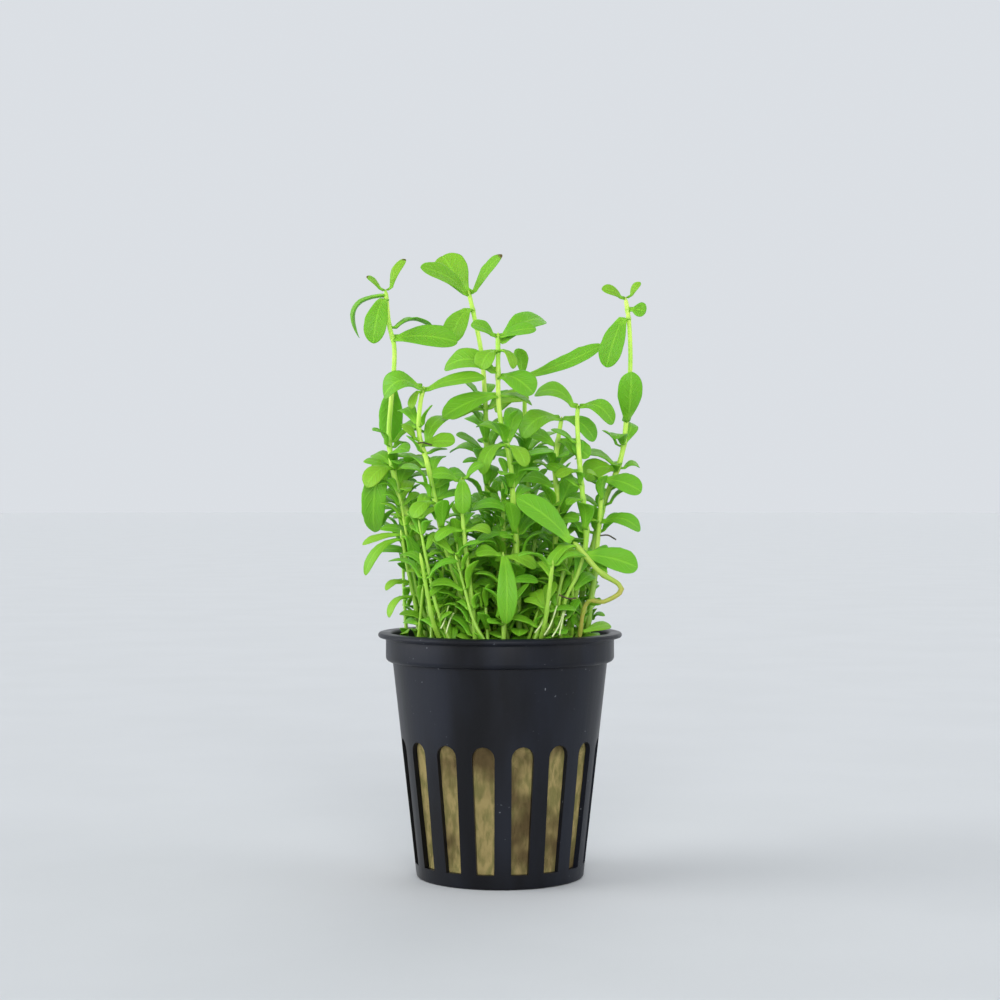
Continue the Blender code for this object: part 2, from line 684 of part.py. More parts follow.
def main():
    clear_scene()
    materials = {
        "pot": material_of("black_plastic", (0.022, 0.024, 0.032), 0.35),
        "wool": material_of("rock_wool", (0.30, 0.24, 0.12), 0.95),
        "stem": material_of("stem_green", (0.42, 0.58, 0.10), 0.45),
        "leaf": material_of("leaf_green", (0.14, 0.40, 0.02), 0.40),
    }
    make_pot(materials["pot"])
    feet = [(shoot.foot, STEM_FOOT_RADIUS) for shoot in SHOOTS.values()]
    feet += [(tuft.foot, TUFT_FOOT_RADIUS) for tuft in TUFTS.values()]
    make_wool(feet, materials["wool"])
    stems, solids = {}, {}
    taken = [tree_of(turned(pot_profile(), POT_SIDES))]
    for name, shoot in SHOOTS.items():
        path = rooted_path(shoot.foot, shoot.stem)
        stems[name] = Stem(path, STEM_FOOT_RADIUS, STEM_TIP_RADIUS, STEM_SIDES)
        shape = tube(stems[name])
        taken.append(tree_of(shape))
        solids[name] = add_solid(f"{name}_stem", *shape, materials["stem"])
    for name, shoot in SHOOTS.items():
        make_leaves(name, stems[name], shoot.leaves, taken, materials["leaf"])
    young = {
        name: grow_blades(f"{name}_young", stems[name], shoot.young, taken, materials["leaf"])
        for name, shoot in SHOOTS.items()
    }
    for name, shoot in SHOOTS.items():
        leaves = lower_pairs(name, stems[name], shoot)
        lower = grow_blades(f"{name}_lower", stems[name], leaves, taken, materials["leaf"])
        fuse(solids[name], young[name] + lower)
    for name, tuft in TUFTS.items():
        make_tuft(name, tuft, taken, materials)


main()
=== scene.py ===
# %% [markdown]
# # A bunch of bacopa in its aquarium pot
#
# Bacopa, or water hyssop, is a creeping marsh plant that is sold in a small slotted pot. Its stems
# stand up from a plug of rock wool, and each carries rounded fleshy leaves in opposite pairs, every
# pair turned across the one below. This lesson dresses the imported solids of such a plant. It keeps
# their places and sizes, and gives every leaf, stem, the pot and the wool a finer shape and finish.

import math
import random
from collections import namedtuple

import bpy
from mathutils import Matrix, Vector
from mathutils.bvhtree import BVHTree


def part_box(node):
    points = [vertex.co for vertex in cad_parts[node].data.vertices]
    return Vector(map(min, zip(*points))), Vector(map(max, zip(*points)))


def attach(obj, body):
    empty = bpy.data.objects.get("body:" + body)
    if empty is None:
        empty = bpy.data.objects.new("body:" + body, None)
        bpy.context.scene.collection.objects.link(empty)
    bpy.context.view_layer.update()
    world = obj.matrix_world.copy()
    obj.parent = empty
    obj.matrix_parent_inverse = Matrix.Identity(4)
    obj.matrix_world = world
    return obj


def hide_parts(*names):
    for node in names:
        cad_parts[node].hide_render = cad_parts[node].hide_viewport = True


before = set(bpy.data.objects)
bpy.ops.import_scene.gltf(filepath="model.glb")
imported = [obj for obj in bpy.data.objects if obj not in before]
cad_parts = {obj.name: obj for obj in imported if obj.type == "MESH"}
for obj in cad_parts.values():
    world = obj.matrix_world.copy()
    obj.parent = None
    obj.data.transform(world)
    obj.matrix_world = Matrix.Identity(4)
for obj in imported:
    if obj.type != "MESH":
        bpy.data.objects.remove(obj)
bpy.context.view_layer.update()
MM = 0.001


# %% [markdown]
# ## The sizes
#
# The lengths are in millimetres. The pot is the usual 5 cm size, and everything else was measured
# against it. A leaf's outline is one formula: a narrow neck that widens into a spoon. The solids use
# the same one, so that a fine leaf lies in the space that its plain solid keeps clear.

# %% Sizes of the pot and the wool
POT_HEIGHT = 50.0
RIM_RADIUS = 25.0
RIM_EDGE = 0.4
COLLAR_RADIUS = 23.4
COLLAR_HEIGHT = 6.0
COLLAR_EDGE = 0.9
WALL_TOP_RADIUS = 22.0
BASE_RADIUS = 17.1
WALL = 1.0
FLOOR = 1.6
POT_SIDES = 32
SLOT_COUNT = 16
SLOT_TURN = math.radians(13)
SLOT_LOW, SLOT_HIGH = 3.0, 28.6
SLOT_LOW_WIDTH, SLOT_HIGH_WIDTH = 3.5, 4.5
FLOOR_SLOT_COUNT = 8
FLOOR_SLOT_WIDTH = 2.4
FLOOR_SLOT_IN, FLOOR_SLOT_OUT = 6.0, 13.0
WOOL_TOP = 45.0
WOOL_EDGE = 1.6
FOOT_DEPTH = 7.0
GAP = 0.3

# %% Sizes of the stems and the blades
STEM_FOOT_RADIUS = 0.9
STEM_TIP_RADIUS = 0.55
STEM_SIDES = 5
STEM_STEP = 9.0
GROWN_STATIONS = (0.0, 0.22, 0.52, 0.82, 1.0)
FUSED_STATIONS = (0.0, 0.45, 0.83, 1.0)
BLADE_THICKNESS = 0.8
BLADE_CUP = 0.16
BLADE_NECK = 0.34
BLADE_WIDEST = 0.66
BLADE_ROUNDNESS = 0.55
BLADE_THINNING = 0.45
BLADE_BEND = 0.45
START_RISE = 0.8
TURNS = (0, 7, -7, 14, -14, 22, -22, 30, -30, 40, -40, 50, -50, 65, -65)
FIRST_PAIR = 5.0
LOWEST_TIP = 48.0
RIM_REACH, RIM_ZONE = 21.0, 64.0
PAIR_STEP = 18.0
PAIR_STEP_SPREAD = (0.85, 1.15)
LOW_LENGTH = 9.6
LOW_WIDTH = 4.7
SIZE_SPREAD = (0.8, 1.1)
LIFT_SPREAD = (-30, 30)
ARCH_SPREAD = (0.08, 0.28)
FACE_SPREAD = (0, 40)
TUFT_FOOT_RADIUS = 0.6
TUFT_TIP_RADIUS = 0.4
TUFT_SIDES = 4
TUFT_SHOOTS = 3
TUFT_TRIES = 12
TUFT_SWING = (-35, 35)
TUFT_REACH = (0.5, 1.1)
TUFT_RISE = (0.65, 1.0)
TUFT_BEND = 0.35
TUFT_PAIR_STEP = 12.5
TUFT_LENGTH = 8.2
TUFT_WIDTH = 3.9


# %% [markdown]
# ## The plan of the plant
#
# A natural thing has no drawing, so its plan is a table of given numbers. A shoot has its
# foot (x, y) in the wool, points (x, y, z) up the stem, the grown leaves and the young ones. A leaf
# has its height on the stem, the point of its tip, its width, how high it arches as a share of its
# length, and how many degrees its upper side is turned towards the viewer. It is the plan that the
# solids were grown from, so the fine leaves land on the plain ones.

# %% The table of shoots
Leaf = namedtuple("Leaf", "height tip width arch face")
Shoot = namedtuple("Shoot", "foot stem leaves young")
Tuft = namedtuple("Tuft", "foot heading height spread")
Stem = namedtuple("Stem", "path foot_radius tip_radius sides")

SHOOTS = {
    "left_tall": Shoot(
        (-11, -3),
        [(-13, -3.5, 58), (-17, -4, 70), (-21, -4, 80), (-22.6, -3, 89), (-22.2, -3, 97),
         (-21.6, -3, 104), (-21.6, -3, 108.6), (-22.6, -2.5, 112.7), (-23.4, -2.5, 120)],
        [Leaf(118.8, (-28.8, -1.0, 110.2), 4.4, 0.36, 28),
         Leaf(117.8, (-25.6, -7.0, 108.6), 4.8, 0.16, 20),
         Leaf(110.0, (-8.6, -5.0, 109.0), 5.6, 0.10, 55),
         Leaf(112.3, (-14.0, 2.0, 112.4), 3.8, 0.22, 5),
         Leaf(100.0, (-22.6, 3.0, 88.8), 5.0, 0.10, 0)],
        [Leaf(119.6, (-19.4, -1.0, 126.3), 2.3, 0.16, 40),
         Leaf(119.6, (-27.2, -4.0, 122.4), 2.1, 0.08, 45),
         Leaf(83.5, (-27.0, -7.5, 79.6), 4.4, 0.20, 35),
         Leaf(83.5, (-13.6, -6.0, 84.0), 4.6, 0.16, 40)],
    ),
    "left_front": Shoot(
        (-6, -12),
        [(-7, -12.5, 55), (-10.5, -14, 67), (-12.5, -14, 75), (-13.9, -14, 82), (-14.9, -14, 86),
         (-15.9, -14, 89), (-16.1, -14, 93), (-15.7, -14, 97), (-15.1, -14, 99.6)],
        [Leaf(98.8, (-3.0, -15.0, 101.2), 4.2, 0.08, 40),
         Leaf(99.4, (-23.0, -14.5, 97.4), 5.8, 0.42, 45),
         Leaf(88.0, (-8.9, -16.5, 88.4), 4.4, 0.10, 45)],
        [Leaf(98.4, (-17.4, -16.5, 95.0), 2.4, 0.14, 0),
         Leaf(88.6, (-19.4, -15.0, 91.8), 3.2, 0.10, 40),
         Leaf(76.5, (-17.2, -17.0, 73.5), 3.6, 0.16, 30)],
    ),
    "centre_left_tall": Shoot(
        (-2, 4),
        [(-2.2, 4, 60), (-2.6, 4, 75), (-2.8, 4, 90), (-3.4, 4, 103), (-4.1, 4, 109),
         (-5.2, 4, 114.3), (-6.0, 4, 118), (-6.6, 4, 120.5)],
        [Leaf(119.6, (-16.3, -1.0, 124.7), 5.0, 0.12, 55),
         Leaf(119.8, (-12.0, 8.0, 128.0), 6.6, 0.10, 50),
         Leaf(119.6, (0.4, 3.0, 127.8), 3.8, 0.06, 45),
         Leaf(116.4, (-10.2, 1.5, 109.4), 5.2, 0.14, 40)],
        [Leaf(96.0, (6.0, 2.0, 98.0), 4.8, 0.16, 40),
         Leaf(96.0, (-10.5, 3.0, 94.0), 5.0, 0.16, 40)],
    ),
    "centre_front": Shoot(
        (4, -10),
        [(3.6, -10.5, 58), (3.2, -11, 70), (2.6, -11.5, 77), (2.2, -12, 83), (1.4, -12, 88),
         (0.4, -12, 91.5), (-0.3, -12, 97), (-0.4, -12, 108), (-0.4, -12, 110.4)],
        [Leaf(109.6, (-5.8, -13.0, 111.9), 3.8, 0.14, 45),
         Leaf(109.6, (7.2, -13.5, 110.9), 4.0, 0.10, 45),
         Leaf(108.4, (8.9, -7.0, 113.3), 5.4, 0.20, 40),
         Leaf(106.6, (-3.8, -14.6, 102.9), 4.4, 0.20, 30),
         Leaf(102.8, (-11.1, -13.0, 103.4), 6.2, 0.28, 45),
         Leaf(101.6, (6.6, -15.0, 98.0), 5.8, 0.20, 45),
         Leaf(97.8, (-11.4, -14.0, 93.4), 5.4, 0.08, 45)],
        [Leaf(106.8, (2.6, -14.4, 103.0), 2.6, 0.20, 10),
         Leaf(97.8, (6.4, -10.0, 96.0), 3.0, 0.14, 30),
         Leaf(88.0, (-3.4, -15.0, 82.0), 4.0, 0.24, 20),
         Leaf(87.6, (5.0, -15.5, 83.6), 3.6, 0.18, 20)],
    ),
    "right_tall": Shoot(
        (16, 2),
        [(17, 2, 58), (18.8, 2, 66), (20.7, 2.5, 73), (21.7, 3, 77), (24.2, 3, 83.2),
         (25.0, 3, 85.7), (25.6, 3, 88.6), (26.1, 3, 93.5), (26.9, 3, 103.5), (26.9, 3, 110),
         (26.5, 3, 115.3), (25.9, 3, 119)],
        [Leaf(114.4, (21.9, 1.0, 104.3), 5.0, 0.10, 50),
         Leaf(93.0, (26.8, -2.2, 103.2), 5.2, -0.10, 0),
         Leaf(116.4, (30.1, 1.5, 115.8), 3.4, 0.10, 65),
         Leaf(83.4, (17.5, 1.5, 81.4), 5.8, 0.30, 45)],
        [Leaf(118.6, (20.9, 1.0, 120.4), 2.6, 0.14, 60),
         Leaf(118.6, (29.0, 2.5, 122.0), 2.0, 0.10, 55),
         Leaf(83.6, (28.9, 4.0, 83.7), 2.4, 0.32, 30)],
    ),
    "right_front": Shoot(
        (12.5, -6.5),
        [(15.0, -8, 57), (17.3, -9, 69), (16.7, -9, 77), (16.1, -9, 83), (15.7, -9, 89),
         (15.5, -9, 93), (15.7, -9, 96.2)],
        [Leaf(95.8, (22.6, -11.0, 92.2), 4.0, 0.38, 50),
         Leaf(95.8, (7.0, -8.0, 98.2), 5.0, 0.32, 40)],
        [Leaf(82.8, (11.2, -10.5, 81.6), 2.8, 0.14, 40),
         Leaf(77.0, (13.4, -11.5, 76.0), 2.6, 0.16, 20)],
    ),
    "right_centre": Shoot(
        (9, -2),
        [(10.2, -2.5, 60), (11.4, -3, 70), (11.6, -3.5, 78), (11.2, -3.5, 83), (11.8, -3.5, 89),
         (12.6, -3.5, 94)],
        [Leaf(93.6, (4.5, -5.0, 89.8), 5.6, 0.32, 45),
         Leaf(93.6, (19.2, -5.0, 89.0), 4.0, 0.24, 50),
         Leaf(89.0, (18.0, -6.0, 85.6), 4.1, 0.14, 50)],
        [Leaf(83.0, (6.6, -5.0, 84.6), 2.2, 0.16, 20)],
    ),
    "centre_back": Shoot(
        (6, 9),
        [(6.2, 9, 60), (5.8, 9, 75), (5.2, 9, 90), (5.2, 9, 103.4)],
        [Leaf(102.8, (21.4, 8.0, 109.4), 4.0, -0.04, 55)],
        [Leaf(102.8, (3.8, 6.0, 108.6), 3.2, 0.10, 0),
         Leaf(98.6, (-1.0, 8.0, 95.4), 3.6, 0.16, 40)],
    ),
    "left_low": Shoot(
        (-15, 5),
        [(-16, 5, 58), (-18.4, 4.5, 70), (-20.6, 3, 80), (-22.1, 2, 87)],
        [Leaf(86.4, (-25.8, 1.0, 70.4), 5.2, 0.36, 65)],
        [Leaf(86.2, (-27.0, -1.0, 80.9), 4.0, 0.20, 30),
         Leaf(86.2, (-15.8, 4.0, 83.6), 3.6, 0.14, 30),
         Leaf(75.0, (-24.5, 6.0, 71.5), 3.2, 0.20, 0)],
    ),
    "left_edge": Shoot(
        (-15.5, -5.5),
        [(-17, -6.5, 55), (-18.6, -7.5, 63), (-20, -8, 71)],
        [Leaf(69.6, (-17.4, -10.0, 64.2), 3.2, 0.20, 10)],
        [Leaf(69.0, (-27.0, -9.5, 61.9), 2.8, 0.22, 40),
         Leaf(70.0, (-27.8, -7.0, 68.0), 2.4, 0.08, 40),
         Leaf(60.5, (-22.9, -9.0, 58.8), 2.4, 0.20, 20),
         Leaf(57.5, (-22.2, -9.5, 53.4), 2.6, 0.24, 10)],
    ),
    "right_low": Shoot(
        (17.2, -3.5),
        [(18.4, -4, 56), (19.4, -4, 64), (20.2, -4, 72.5), (20.9, -4, 82)],
        [Leaf(81.0, (28.6, -6.0, 78.6), 5.0, 0.14, 50),
         Leaf(72.6, (28.4, -5.5, 70.8), 3.8, 0.28, 45)],
        [Leaf(81.0, (17.6, -6.0, 82.6), 2.8, 0.14, 30),
         Leaf(72.6, (17.6, -7.0, 72.8), 2.4, 0.14, 20)],
    ),
    "right_rim": Shoot(
        (11.5, -13.5),
        [(12.6, -15, 56), (15.2, -15.5, 62), (16.8, -15.5, 66.8)],
        [Leaf(66.0, (27.2, -16.0, 63.6), 5.4, 0.12, 60)],
        [Leaf(66.0, (10.6, -16.5, 66.6), 3.6, 0.12, 50)],
    ),
    "bent_runner": Shoot(
        (15.5, -8.8),
        [(17.0, -12.5, 56), (20.6, -15.5, 56.9), (23.6, -16.8, 58.7), (23.4, -17.2, 60.4),
         (19.6, -18.5, 62.9), (15.6, -18.5, 67.4), (14.4, -18.5, 68.8)],
        [Leaf(69.0, (3.3, -19.5, 77.4), 6.0, 0.10, 55)],
        [Leaf(68.0, (9.6, -20.5, 63.4), 3.4, 0.16, 20),
         Leaf(50.6, (22.4, -5.0, 51.6), 2.6, 0.06, 40)],
    ),
    "front_left": Shoot(
        (-4.5, -16.5),
        [(-5.4, -17, 56), (-6.6, -17, 66), (-7.4, -16.8, 74), (-7.6, -16.5, 81.5)],
        [Leaf(80.8, (-7.3, -20.0, 74.3), 3.4, 0.24, 0)],
        [Leaf(80.8, (-13.4, -17.5, 81.8), 3.8, 0.20, 40),
         Leaf(81.0, (-3.2, -17.5, 84.0), 3.0, 0.16, 40),
         Leaf(71.0, (-12.6, -18.0, 69.0), 3.6, 0.20, 30),
         Leaf(71.0, (-1.8, -18.0, 70.6), 3.4, 0.20, 30)],
    ),
    "front_middle": Shoot(
        (0.6, -17.5),
        [(0.8, -17.8, 54), (0.8, -18, 60), (0.6, -17.6, 66.8)],
        [Leaf(65.8, (1.2, -21.0, 52.8), 4.0, 0.16, 0)],
        [Leaf(65.8, (7.0, -18.5, 63.6), 3.4, 0.16, 40),
         Leaf(66.2, (-4.8, -18.5, 66.4), 3.4, 0.20, 40)],
    ),
}

# %% [markdown]
# A tuft is a clump of short side shoots that share one foot. Its own shape matters less than that
# there are many, so a tuft has only its foot, the direction in degrees of its first shoot, the
# height of its shoots and how far they lean out. A fixed seed, the tuft's name, draws the rest.

# %% The table of tufts
TUFTS = {
    "tuft_front_left": Tuft((-10.5, -13), 215, 26, 9),
    "tuft_front_right": Tuft((7, -15), 300, 22, 8),
    "tuft_left": Tuft((-9, 1), 190, 38, 9),
    "tuft_middle": Tuft((2, -3), 270, 36, 8),
    "tuft_right": Tuft((12, 6), 340, 32, 8),
    "tuft_back": Tuft((-6, 13), 130, 36, 10),
}

# %% [markdown]
# ## Where every stem runs
#
# The points of a stem are joined by a smooth curve, so that it bends like a stalk and not like a
# wire. A plain tube along it is only a guide here: leaves use it to find out what is in their way.

# %% Stems as curves and guide tubes
def vector(x, y, z):
    """A point or an offset given in millimetres."""
    return Vector((x, y, z)) * MM


def skin(rings, tip=None):
    """Faces between rings of the same number of points, closed by flat ends or by a last tip."""
    sides = len(rings[0])
    points = [point for ring in rings for point in ring]
    faces = [list(reversed(range(sides)))]
    last = len(points) - sides
    for low in range(0, last, sides):
        for k in range(sides):
            after = (k + 1) % sides
            faces.append([low + k, low + after, low + sides + after, low + sides + k])
    if tip is None:
        faces.append(list(range(last, last + sides)))
    else:
        faces += [[last + k, last + (k + 1) % sides, last + sides] for k in range(sides)]
        points.append(tip)
    return points, faces


def smooth_path(points, step):
    """Points along a smooth curve through these ones, about a step apart."""
    ends = [points[0] * 2 - points[1], *points, points[-1] * 2 - points[-2]]
    path = [points[0]]
    for before, start, end, after in zip(ends, ends[1:], ends[2:], ends[3:]):
        pieces = max(1, round((end - start).length / step))
        for k in range(1, pieces + 1):
            t = k / pieces
            bend = (2 * before - 5 * start + 4 * end - after) * t * t
            twist = (3 * start - before - 3 * end + after) * t ** 3
            path.append((2 * start + (end - before) * t + bend + twist) / 2)
    return path


def rooted_path(foot, points, step=STEM_STEP):
    """From the bottom of its hole straight up to the wool's surface, then through the points."""
    x, y = foot
    bottom = vector(x, y, WOOL_TOP - FOOT_DEPTH)
    above = [vector(x, y, WOOL_TOP), *(vector(*point) for point in points)]
    return [bottom, *smooth_path(above, step * MM)]


def radius_along(stem, i):
    """The radius of a stem at point i of its path, in metres."""
    share = i / (len(stem.path) - 1)
    return (stem.foot_radius + (stem.tip_radius - stem.foot_radius) * share) * MM


def tube(stem):
    """A closed tube along a stem's path, tapered from its foot to its tip."""
    path = stem.path
    angles = [math.tau * k / stem.sides for k in range(stem.sides)]
    rings = []
    across = Vector((0, -1, 0))
    last = len(path) - 1
    for i, centre in enumerate(path):
        along = (path[min(i + 1, last)] - path[max(i - 1, 0)]).normalized()
        across = (across - along * across.dot(along)).normalized()
        other = along.cross(across)
        radius = radius_along(stem, i)
        rings.append([centre + (across * math.cos(a) + other * math.sin(a)) * radius for a in angles])
    return skin(rings)


def place_on(stem, height):
    """The last point of a stem's path at this height in millimetres, and the radius there."""
    last = len(stem.path) - 1
    for i in range(last, 0, -1):
        low, high = stem.path[i - 1], stem.path[i]
        if low.z <= height * MM <= high.z:
            return low.lerp(high, (height * MM - low.z) / (high.z - low.z)), radius_along(stem, i)
    return stem.path[-1], radius_along(stem, last)


# %% [markdown]
# ## The plain blade
#
# A blade follows a bent line from where it starts beside its stem, over a bend, to its tip. Its
# sections are shallow lenses with lifted edges. This coarse blade is the one that the solids have,
# and it is used here only to keep leaves off each other. The fine one comes later, from a node tree.

# %% A blade's outline and its coarse form
def half_width_at(t):
    """Half the width of a blade at t along it, as a share of its widest: a neck, then a spoon."""
    rise = BLADE_WIDEST / (1 - BLADE_WIDEST)
    spoon = (t / BLADE_WIDEST) ** rise * (1 - t) / (1 - BLADE_WIDEST)
    return min(1.0, spoon ** BLADE_ROUNDNESS + BLADE_NECK * (1 - t) ** 3)


def level(direction):
    """The horizontal part of a direction, at length 1."""
    return Vector((direction.x, direction.y, 0)).normalized()


def upper_side(reach, face):
    """The direction in which the upper side of a leaf looks, if it reaches this way."""
    along = reach.normalized()
    lift = math.asin(max(-1.0, min(1.0, along.z)))
    upward = Vector((0, 0, math.cos(lift))) - level(reach) * math.sin(lift)
    sideways = along.cross(upward)
    if sideways.y > 0:
        sideways = -sideways
    turn = math.radians(face)
    return upward * math.cos(turn) + sideways * math.sin(turn)


def bend_of(start, tip, leaf):
    """The middle point that pulls a blade into its arch, and the direction across the blade."""
    reach = tip - start
    upward = upper_side(reach, leaf.face)
    bend = start + reach * BLADE_BEND + upward * (2 * leaf.arch * reach.length)
    return bend, reach.normalized().cross(upward)


def section(centre, across, normal, half, thick, whole):
    """One section of a blade: a lens whose edges are lifted, or without its upper ridge."""
    edge = normal * (BLADE_CUP * half)
    corners = [centre + across * half + edge, centre - across * half + edge, centre - normal * thick]
    if whole:
        corners.insert(1, centre + normal * thick)
    return corners


def blade(start, tip, leaf, stations, clearance=0.0, root=None):
    """A closed coarse blade from start to tip. With a root, a neck joins it to that point."""
    whole = stations == GROWN_STATIONS
    bend, across = bend_of(start, tip, leaf)
    rings = []
    for t in stations[:-1]:
        centre = start * (1 - t) ** 2 + bend * (2 * t * (1 - t)) + tip * t * t
        along = ((bend - start) * (1 - t) + (tip - bend) * t).normalized()
        half = (half_width_at(t) * leaf.width / 2 + clearance) * MM
        thick = (BLADE_THICKNESS * (1 - BLADE_THINNING * t) / 2 + clearance) * MM
        rings.append(section(centre, across, across.cross(along), half, thick, whole))
    if root:
        rings.insert(0, [corner + root - start for corner in rings[0]])
    return skin(rings, tip)


# %% [markdown]
# ## Room for every leaf
#
# Real leaves slide past each other as they grow. Here each one is turned about its stem, by as
# little as it takes, until a slightly fatter blade touches nothing that stands already. Trees of
# bounding boxes (BVH) answer that question quickly.

# %% Find room for a leaf
def tree_of(shape):
    """The tree of boxes of a shape that is given as points and faces."""
    points, faces = shape
    return BVHTree.FromPolygons(points, faces)


def is_clear(shape, taken):
    """Whether a shape touches nothing that stands already."""
    tree = tree_of(shape)
    return not any(tree.overlap(other) for other in taken)


def find_room(axis, radius, leaf, stations, taken):
    """Where the blade starts beside the stem and where its tip is, or None without room."""
    for turn in TURNS:
        reach = Matrix.Rotation(math.radians(turn), 3, "Z") @ (vector(*leaf.tip) - axis)
        rise = max(0.0, reach.normalized().z) * START_RISE
        outward = level(reach) + Vector((0, 0, rise))
        start = axis + outward * (radius + (GAP + BLADE_THICKNESS / 2) * MM)
        tip = axis + reach
        if is_clear(blade(start, tip, leaf, stations, clearance=GAP / 2), taken):
            return start, tip
    return None


# %% Opposite pairs up a stem
def pairs_up(stem, low, high, step, size, random_one, lifts=LIFT_SPREAD):
    """Opposite leaves at each step up a stem from low to high, each pair across the one below.

    A leaf that would hang over the rim of the pot is left out.
    """
    length, width = size
    azimuth = random_one.uniform(0, math.tau)
    leaves = []
    height = low
    while height < high:
        axis = place_on(stem, height)[0] / MM
        for side in (0, math.pi):
            scale = random_one.uniform(*SIZE_SPREAD)
            lift = math.radians(random_one.uniform(*lifts))
            out = length * scale * math.cos(lift)
            rise = max(length * scale * math.sin(lift), LOWEST_TIP - height)
            tip = axis + Vector((out * math.cos(azimuth + side), out * math.sin(azimuth + side), rise))
            arch, face = random_one.uniform(*ARCH_SPREAD), random_one.uniform(*FACE_SPREAD)
            if tip.z > RIM_ZONE or math.hypot(tip.x, tip.y) < RIM_REACH:
                leaves.append(Leaf(height, tuple(tip), width * scale, arch, face))
        azimuth += math.pi / 2
        height += step * random_one.uniform(*PAIR_STEP_SPREAD)
    return leaves


def lower_pairs(name, stem, shoot):
    """The pairs between the wool and the lowest leaf that the table gives."""
    lowest = min(leaf.height for leaf in shoot.leaves + shoot.young)
    low, high = WOOL_TOP + FIRST_PAIR, lowest - PAIR_STEP / 2
    return pairs_up(stem, low, high, PAIR_STEP, (LOW_LENGTH, LOW_WIDTH), random.Random(name))


# %% The side shoots of a tuft
def side_shoot(tuft, k, random_one):
    """A stem that leans out from the tuft's foot, a third of a turn from the one before."""
    angle = math.radians(tuft.heading + 360 * k / TUFT_SHOOTS + random_one.uniform(*TUFT_SWING))
    out = tuft.spread * random_one.uniform(*TUFT_REACH)
    rise = tuft.height * random_one.uniform(*TUFT_RISE)
    x, y = tuft.foot
    along, aside = out * math.cos(angle), out * math.sin(angle)
    middle = (x + along / 2, y + aside / 2, WOOL_TOP + rise * TUFT_BEND)
    path = rooted_path(tuft.foot, [middle, (x + along, y + aside, WOOL_TOP + rise)])
    return Stem(path, TUFT_FOOT_RADIUS, TUFT_TIP_RADIUS, TUFT_SIDES)


def side_shoots(tuft, taken, random_one):
    """The stems of a tuft. Each is tried until it is clear of what stands already."""
    stems = []
    for k in range(TUFT_SHOOTS):
        for _ in range(TUFT_TRIES):
            stem = side_shoot(tuft, k, random_one)
            wider = stem._replace(foot_radius=TUFT_FOOT_RADIUS + GAP, tip_radius=TUFT_TIP_RADIUS + GAP)
            if is_clear(tube(wider), taken):
                stems.append(stem)
                break
    return stems


# %% [markdown]
# ## Growing the plant
#
# The order is the one in which the solids were grown: first all main stems, then their grown leaves,
# the young ones, the lower pairs and at last the tufts. Each leaf that found room is written down
# under the node that it belongs to, with everything that the fine blade needs.

# %% What is written down for each node
NECK_ROOT = 0.3
GROWN_AGE, YOUNG_AGE, PAIR_AGE, TUFT_AGE = 0.45, 0.15, 0.75, 0.7
Blade = namedtuple("Blade", "root start bend tip across width seed age")
blades = {name: [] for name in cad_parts}
stalks = {name: [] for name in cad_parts}
shades = random.Random("shades of green")


def write_down(node, axis, room, leaf, age):
    """Notes a leaf under its node. Its neck is rooted between the stem's axis and its start."""
    start, tip = room
    bend, across = bend_of(start, tip, leaf)
    root = axis.lerp(start, NECK_ROOT)
    blades[node].append(Blade(root, start, bend, tip, across, leaf.width * MM, shades.random(), age))


def grow_fused(node, stem, leaves, taken, age):
    """Small leaves that belong to their stem's node. One without room is left out."""
    for leaf in leaves:
        axis, radius = place_on(stem, leaf.height)
        room = find_room(axis, radius, leaf, FUSED_STATIONS, taken)
        if room:
            taken.append(tree_of(blade(*room, leaf, FUSED_STATIONS, root=axis)))
            write_down(node, axis, room, leaf, age)


# %% The pot's outer form, which leaves stay clear of
def wall_radius(height):
    """The outer radius of the tapered wall at this height."""
    return BASE_RADIUS + (WALL_TOP_RADIUS - BASE_RADIUS) * height / (POT_HEIGHT - COLLAR_HEIGHT)


def turned(profile, sides):
    """A profile of (radius, height) turned about Z, with flat ends."""
    angles = [math.tau * k / sides for k in range(sides)]
    return skin([[vector(r * math.cos(a), r * math.sin(a), h) for a in angles] for r, h in profile])


def pot_outline():
    """The plain profile of the solid pot, from the top of its floor over the rim and down."""
    collar_foot = POT_HEIGHT - COLLAR_HEIGHT
    collar_inside = COLLAR_RADIUS - WALL
    return [
        (wall_radius(FLOOR) - WALL, FLOOR),
        (wall_radius(collar_foot) - WALL, collar_foot),
        (collar_inside, collar_foot + WALL),
        (collar_inside, POT_HEIGHT),
        (RIM_RADIUS - RIM_EDGE, POT_HEIGHT),
        (RIM_RADIUS, POT_HEIGHT - RIM_EDGE),
        (RIM_RADIUS, POT_HEIGHT - 2 * RIM_EDGE),
        (COLLAR_RADIUS, POT_HEIGHT - 3 * RIM_EDGE),
        (COLLAR_RADIUS, collar_foot + COLLAR_EDGE),
        (COLLAR_RADIUS - COLLAR_EDGE, collar_foot),
        (WALL_TOP_RADIUS, collar_foot),
        (BASE_RADIUS, 0),
    ]


# %% Grow the stems and the grown leaves
taken = [tree_of(turned(pot_outline(), POT_SIDES))]
stems = {}
for name, shoot in SHOOTS.items():
    stems[name] = Stem(rooted_path(shoot.foot, shoot.stem), STEM_FOOT_RADIUS, STEM_TIP_RADIUS, STEM_SIDES)
    taken.append(tree_of(tube(stems[name])))
for name, shoot in SHOOTS.items():
    for i, leaf in enumerate(shoot.leaves, 1):
        axis, radius = place_on(stems[name], leaf.height)
        room = find_room(axis, radius, leaf, GROWN_STATIONS, taken)
        taken.append(tree_of(blade(*room, leaf, GROWN_STATIONS)))
        write_down(f"{name}_leaf_{i}", axis, room, leaf, GROWN_AGE)
print(len(stems), "main stems,", sum(map(len, blades.values())), "grown leaves")

